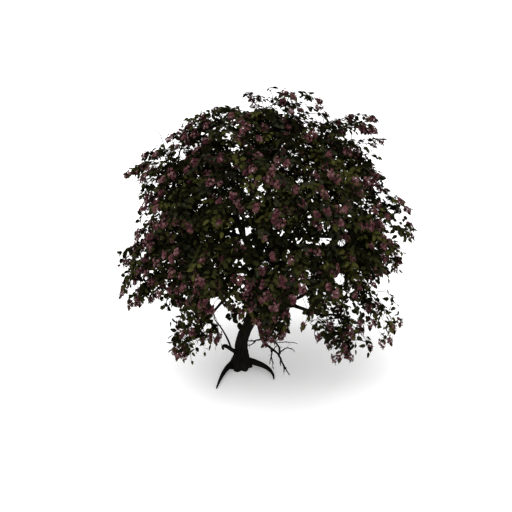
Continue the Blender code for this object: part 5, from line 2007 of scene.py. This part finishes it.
@dataclass(frozen=True)
class FloorFinish:
    """A plain pale studio floor, faintly lit from within so that shadows on it stay soft."""

    dark: Colour = (0.92, 0.92, 0.92)
    light: Colour = (0.95, 0.95, 0.95)
    glow: float = 0.22
    scale: float = 0.4
    roughness: float = 0.9
    specular: float = 0.1

    def build(self, name: str) -> bpy.types.Material:
        """Makes the material.

        Args:
            name: Its name.

        Returns:
            The material.
        """
        finish = Finish(name, self.roughness, self.specular)
        mottle = finish.group(mottle_group(), "Object", Dark=self.dark, Light=self.light, Scale=self.scale)
        finish.colour(mottle.outputs["Color"])
        finish.shader.inputs["Emission Color"].default_value = (1.0, 1.0, 1.0, 1.0)
        finish.shader.inputs["Emission Strength"].default_value = self.glow
        return finish.material


# ------------------------------------------------------------------ the studio

@dataclass
class Studio:
    """Pale floor, soft light and the camera."""

    floor_size: float = 4000.0
    target: Point = (0.38, 0.0, 2.80)
    distance: float = 16.0
    elevation: float = 20.0
    lens: float = 50.0
    sensor: float = 36.0
    far: float = 5000.0
    sky: float = 1.00
    sun: float = 1.75
    sun_spread: float = 60.0
    sun_tilt: Span = (0.28, -0.30)
    sun_height: float = 12.0

    def build(self) -> None:
        """Makes the floor, the sky, the light and the camera."""
        bpy.context.scene.view_settings.view_transform = "Standard"
        self.floor()
        self.world()
        self.light()
        self.camera()

    def floor(self) -> None:
        """Lays the floor, a grid of one square."""
        half = self.floor_size / 2
        corners = np.array([(-half, -half, 0), (half, -half, 0), (half, half, 0), (-half, half, 0)])
        parts = MeshParts()
        parts.add(corners, [np.array([(0, 1, 2, 3)])], corners[:, :2] / self.floor_size)
        parts.build("studio_floor", FloorFinish().build("studio_floor"), smooth=False)

    def world(self) -> None:
        """Sets an even pale sky."""
        world = bpy.data.worlds.new("studio_sky")
        world.use_nodes = True
        back = world.node_tree.nodes["Background"]
        back.inputs["Color"].default_value = (1.0, 1.0, 1.0, 1.0)
        back.inputs["Strength"].default_value = self.sky
        bpy.context.scene.world = world

    def light(self) -> None:
        """Adds one very soft light from above, a little to the front and left."""
        data = bpy.data.lights.new("softbox", "SUN")
        data.energy, data.angle = self.sun, np.radians(self.sun_spread)
        lamp = bpy.data.objects.new("softbox", data)
        lamp.location = (0.0, 0.0, self.sun_height)
        lamp.rotation_euler = (*self.sun_tilt, 0.0)
        bpy.context.scene.collection.objects.link(lamp)

    def camera(self) -> None:
        """Places the camera: level with the view's elevation, looking along +Y."""
        tilt = np.radians(self.elevation)
        ahead = np.array([0.0, np.cos(tilt), -np.sin(tilt)])
        data = bpy.data.cameras.new("camera")
        data.lens, data.sensor_width, data.clip_end = self.lens, self.sensor, self.far
        camera = bpy.data.objects.new("camera", data)
        camera.location = np.array(self.target) - ahead * self.distance
        camera.rotation_euler = self.looking(ahead)
        bpy.context.scene.collection.objects.link(camera)
        bpy.context.scene.camera = camera

    @staticmethod
    def looking(ahead: np.ndarray) -> Point:
        """Turns a camera, which looks along -Z, to look ahead with +Z up."""
        flat = float(np.hypot(ahead[0], ahead[1]))
        return (np.pi / 2 + np.arctan2(ahead[2], flat), 0.0, -np.arctan2(ahead[0], ahead[1]))


# ------------------------------------------------------------------ assembly

BARK = BarkFinish((0.0036, 0.0034, 0.0032), (0.0102, 0.0098, 0.0092), (0.0150, 0.0128, 0.0106),
                  stretch=0.18, scale=26.0, depth=0.006)
TWIG = BarkFinish((0.0030, 0.0024, 0.0019), (0.0070, 0.0054, 0.0043), (0.0080, 0.0070, 0.0055),
                  stretch=0.5, scale=20.0, depth=0.001)
DEAD = BarkFinish((0.0044, 0.0041, 0.0039), (0.0102, 0.0097, 0.0092), (0.0132, 0.0126, 0.0118),
                  stretch=0.4, scale=30.0, depth=0.002)
# Each finish lists dark, light, vein, then the painted shade laid over the leaf's base and edges.
GREENS = {
    # SHADE is painted shade: a near-black copy of the leaf green.
    LeafTint.SHADE: SkinFinish((0.0040, 0.0043, 0.0017), (0.0075, 0.0080, 0.0032), (0.0108, 0.0114, 0.0051),
                               (0.0017, 0.0018, 0.0008)),
    LeafTint.OLIVE: SkinFinish((0.0173, 0.0182, 0.0054), (0.0277, 0.0285, 0.0089), (0.0370, 0.0377, 0.0154),
                               (0.0054, 0.0057, 0.0018)),
    LeafTint.SAGE: SkinFinish((0.0146, 0.0158, 0.0089), (0.0231, 0.0246, 0.0137), (0.0316, 0.0331, 0.0196),
                              (0.0046, 0.0051, 0.0028)),
    LeafTint.FRESH: SkinFinish((0.0347, 0.0356, 0.0080), (0.0508, 0.0512, 0.0132), (0.0616, 0.0624, 0.0216),
                               (0.0100, 0.0104, 0.0026)),
}
# Each finish lists dark, light, vein, then the painted shade laid over the petal's claw and edges, and over the
# stamens and the stalk.
PINKS = {
    BlossomTint.ROSE: PetalFinish((0.1087, 0.0420, 0.0442), (0.1537, 0.0645, 0.0675), (0.0675, 0.0180, 0.0248),
                                  (0.0225, 0.0053, 0.0075)),
    BlossomTint.DEEP: PetalFinish((0.0525, 0.0176, 0.0225), (0.0863, 0.0307, 0.0375), (0.0338, 0.0083, 0.0135),
                                  (0.0112, 0.0027, 0.0045)),
    BlossomTint.PALE: PetalFinish((0.1537, 0.0765, 0.0780), (0.2063, 0.1087, 0.1102), (0.0938, 0.0315, 0.0390),
                                  (0.0375, 0.0105, 0.0142)),
}
LOW_LIMBS = ("dead_limb", "broken_stub", "low_shoot")
LIMB_TURN = 1.7
STEM_TURN = 77.0


def dress(piece: bpy.types.Object, nodes: list[str]) -> bpy.types.Object:
    """Sets a piece on the tree in place of solids.

    Args:
        piece: The new piece.
        nodes: The solids that it stands for.

    Returns:
        The piece.
    """
    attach(piece, BODY)
    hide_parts(*nodes)
    LOG.info("%s stands for %d solids", piece.name, len(nodes))
    return piece


def dress_limbs(skeleton: Skeleton) -> None:
    """Lays bark on the trunk, the boughs, the dead wood, the stub and the shoot.

    Args:
        skeleton: The limbs.
    """
    relief = BarkRelief()
    bark = BARK.build("bark")
    dress(TrunkBark(skeleton, relief).parts().build("trunk_bark", bark), ["trunk"])
    limb_bark = LimbBark(relief)
    for number, name in enumerate([*(bough.name for bough in BOUGHS), *LOW_LIMBS]):
        parts = limb_bark.parts(skeleton.limbs[name], LIMB_TURN * number)
        if name == "broken_stub":
            limb_bark.add_torn_end(parts, skeleton.limbs[name])
        dress(parts.build(f"{name}_bark", bark), [name])
    twigs = DeadWood().parts()
    stem_parts = limb_bark.parts(skeleton.limbs["bare_twigs"], STEM_TURN)
    twigs.add(np.concatenate(stem_parts.corners), stem_parts.faces, np.concatenate(stem_parts.places))
    dress(twigs.build("bare_twigs_bark", DEAD.build("dead_wood")), ["bare_twigs"])


def dress_crown(skeleton: Skeleton) -> None:
    """Grows the twigs, leaves and blossom of every mass.

    Args:
        skeleton: The limbs.
    """
    masses = (*MASSES, SHOOT_MASS)
    spaces = Spaces(masses)
    carriers = {bough.mass: bough.name for bough in BOUGHS}
    carriers[SHOOT_MASS.name] = "low_shoot"
    twigs = TwigWork(skeleton, spaces)
    groups = []
    for number, mass in enumerate(masses):
        growth = Growth(mass, skeleton.limbs[carriers[mass.name]], skeleton, spaces)
        growth.grow()
        groups.append(twigs.grow_mass(number, growth))
        LOG.info("%s: %d joints, %d shoots", mass.name, len(growth.joints), len(groups[-1].paths))
    shoots = Shoots.joined(groups)
    nodes = [mass.name for mass in masses]
    bark = TWIG.build("twig_bark")
    for name, parts in (("twigs", twigs.twigs), ("shoots", twigs.stems)):
        LOG.info("%s: %d triangles", name, parts.triangles())
        dress(parts.build(name, bark), nodes)
    for piece in LeafWork(skeleton, spaces).build(shoots, GREENS):
        dress(piece, nodes)
    for piece in BlossomWork(skeleton, spaces).build(shoots, PINKS):
        dress(piece, nodes)


def main() -> None:
    """Builds the dressed tree and its studio."""
    logging.basicConfig(level=logging.INFO, format="%(name)s: %(message)s")
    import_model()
    skeleton = Skeleton()
    dress_limbs(skeleton)
    dress_crown(skeleton)
    Studio().build()


if __name__ == "__main__":
    main()
